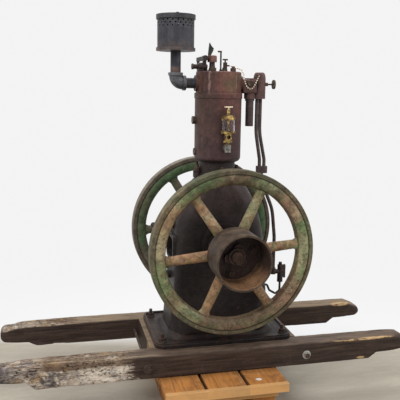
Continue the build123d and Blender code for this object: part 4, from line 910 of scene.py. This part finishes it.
def build_finishes():
    muffler = muffler_finish()
    paint(near_wheel_finish(), "near_flywheel")
    paint(far_wheel_finish(), "far_flywheel")
    paint(pulley_finish(), "pulley")
    paint(crankcase_finish(), "crankcase", "main_bearings", "drain_pipe", "control_lever")
    paint(cylinder_finish(), "cylinder", "cylinder_head", "mixer_body", "mixer_bowl")
    paint(valve_cap_finish(), "valve_cap")
    paint(dark_fitting_finish(), "valve_guide", "rocker_bracket", "rocker_arm", "fuel_pump", "cock_handle")
    paint(trip_finish(), "trip_lever")
    paint(rusty_steel_finish(), "push_rod", "crankshaft", "shaft_keys", "stud_nuts")
    paint(bolt_finish(), "frame_bolts")
    paint(pipe_finish(), "exhaust_pipes", "air_intake_pipe", "supply_pipes")
    paint(elbow_finish(), "exhaust_elbow")
    bright = brass_finish("bright brass", (0.60, 0.42, 0.14), (0.10, 0.056, 0.02), share=0.48, rough=0.22)
    dull = brass_finish("old brass", (0.26, 0.18, 0.10), (0.05, 0.036, 0.028), share=0.7, rough=0.4)
    pale = brass_finish("pale brass", (0.80, 0.66, 0.48), (0.22, 0.15, 0.09), share=0.25, rough=0.25)
    paint(bright, "oiler_body", "oiler_cap")
    paint(pale, "oiler_lever")
    paint(dull, "head_fittings", "petcock_handle", "priming_plug", "needle_valve")
    paint(zinc_finish(), "oiler_nipple")
    paint(glass_finish(), "oiler_glass")
    paint(new_timber("deck timber", lengthwise=True, pale=False), "deck_boards")
    paint(new_timber("end timber", lengthwise=False, pale=True), "stand_bearers")
    paint(new_timber("runner timber", lengthwise=True, pale=False), "stand_runners")
    return muffler


# Floor, light and camera
FLOOR_COLOUR = (0.395, 0.355, 0.29)
FLOOR_RADIUS = 12
FLOOR_TURN = math.radians(13.5)   # of the line along which the floor turns into the backdrop
BACKDROP = 0.90
BACKDROP_DEPTH = (0.34, 0.52)     # depths behind the object's middle between which the backdrop takes over
FADE_OUT = (1.1, 2.6)             # and distances from it, all round
WORLD_LIGHT = 0.55


def background_rays(g):
    path = g.node("LightPath")
    seen = g.math("MAXIMUM", path.outputs["Is Camera Ray"], path.outputs["Is Glossy Ray"])
    return g.math("MAXIMUM", seen, path.outputs["Is Transmission Ray"])


def backdrop_share(g):
    """0 on the floor, 1 where the white backdrop takes over: close behind the object, and softly far out."""
    axes = g.axes()
    deep = g.plus(g.times(axes["X"], math.sin(FLOOR_TURN)), g.times(axes["Y"], math.cos(FLOOR_TURN)))
    far = g.vector("LENGTH", g.place)
    return g.math("MAXIMUM", g.band(deep, *BACKDROP_DEPTH), g.band(far, *FADE_OUT))


def build_floor():
    bpy.ops.mesh.primitive_circle_add(vertices=96, radius=FLOOR_RADIUS, fill_type="NGON", location=(0, 0, 0))
    floor = bpy.context.object
    floor.name = "floor"
    g = new_graph("concrete floor")
    dark, light = (tuple(c * share for c in FLOOR_COLOUR) for share in (0.86, 1.12))
    colour = g.mix(g.noise(3, 6, 0.6), dark, light)
    colour = g.lay(colour, (0.52, 0.47, 0.38), g.band(g.grain((5, 22, 1), 6, 0.7, twist=0.8), 0.46, 0.62), 0.35)
    colour = g.lay(colour, (0.24, 0.21, 0.18), g.band(g.noise(120, 6, 0.75), 0.54, 0.68), 0.4)
    concrete = g.node("BsdfPrincipled")
    g.put(concrete.inputs["Base Color"], colour)
    g.put(concrete.inputs["Roughness"], 0.75)
    glow = g.node("Emission")
    g.put(glow.inputs["Color"], (1, 1, 1, 1))
    g.put(glow.inputs["Strength"], g.times(background_rays(g), BACKDROP))
    white = g.node("BsdfDiffuse")
    g.put(white.inputs["Color"], (0.86, 0.86, 0.86, 1))
    far = g.band(g.vector("LENGTH", g.place), 0.6, 1.8)
    sweep = g.blend(g.plus(0.55, g.times(far, 0.45)), white, glow)
    whole = g.blend(backdrop_share(g), concrete, sweep)
    g.tree.links.new(whole.outputs[0], g.node("OutputMaterial").inputs["Surface"])
    floor.data.materials.append(g.owner)


def build_world():
    """Plain light all round, with the white of the backdrop for the camera, gloss and glass."""
    world = bpy.data.worlds.new("studio")
    bpy.context.scene.world = world
    g = Graph(world)
    light = g.node("Background")
    g.put(light.inputs["Color"], (1, 1, 1, 1))
    g.put(light.inputs["Strength"], WORLD_LIGHT)
    seen = g.node("Background")
    g.put(seen.inputs["Color"], (BACKDROP, BACKDROP, BACKDROP, 1))
    both = g.blend(background_rays(g), light, seen)
    g.tree.links.new(both.outputs[0], g.node("OutputWorld").inputs["Surface"])


def area_light(name, place, target, size, power):
    data = bpy.data.lights.new(name, "AREA")
    data.shape = "DISK"
    data.size = size
    data.energy = power
    lamp = bpy.data.objects.new(name, data)
    bpy.context.scene.collection.objects.link(lamp)
    lamp.location = place
    aim = Vector(target) - Vector(place)
    lamp.rotation_euler = aim.to_track_quat("-Z", "Y").to_euler()


def build_lights():
    area_light("key", (-2.2, -2.4, 3.4), (0, 0, 0.7), size=2.6, power=95)
    area_light("fill", (2.8, -2.0, 2.2), (0, 0, 0.7), size=2.6, power=35)
    area_light("top", (0.2, 0.9, 3.6), (0, 0, 0.8), size=2.4, power=60)


# Camera solved from the photograph: place in metres, turns in degrees, focal length in pixels of a 400 pixel frame
CAMERA_PLACE = Vector((-0.6223, -2.3043, 0.9387 + SKID_TOP))
CAMERA_YAW = 13.553
CAMERA_PITCH = 9.767
CAMERA_ROLL = 0.7686
FOCAL_PIXELS = 611.1
FRAME_PIXELS = 400
SENSOR_MM = 36


def build_camera():
    yaw, pitch, roll = (math.radians(a) for a in (CAMERA_YAW, CAMERA_PITCH, CAMERA_ROLL))
    forward = Vector((math.sin(yaw) * math.cos(pitch), math.cos(yaw) * math.cos(pitch), -math.sin(pitch)))
    level = Vector((math.cos(yaw), -math.sin(yaw), 0))
    upright = level.cross(forward)
    right = math.cos(roll) * level + math.sin(roll) * upright
    up = -math.sin(roll) * level + math.cos(roll) * upright
    data = bpy.data.cameras.new("camera")
    data.sensor_width = SENSOR_MM
    data.lens = FOCAL_PIXELS / FRAME_PIXELS * SENSOR_MM
    camera = bpy.data.objects.new("camera", data)
    bpy.context.scene.collection.objects.link(camera)
    turn = Matrix((right, up, -forward)).transposed()
    camera.matrix_world = Matrix.Translation(CAMERA_PLACE) @ turn.to_4x4()
    bpy.context.scene.camera = camera


muffler_sheet = build_finishes()
build_skids()
build_muffler(muffler_sheet)
build_chain()
build_floor()
build_world()
build_lights()
build_camera()
bpy.context.scene.view_settings.view_transform = "Standard"
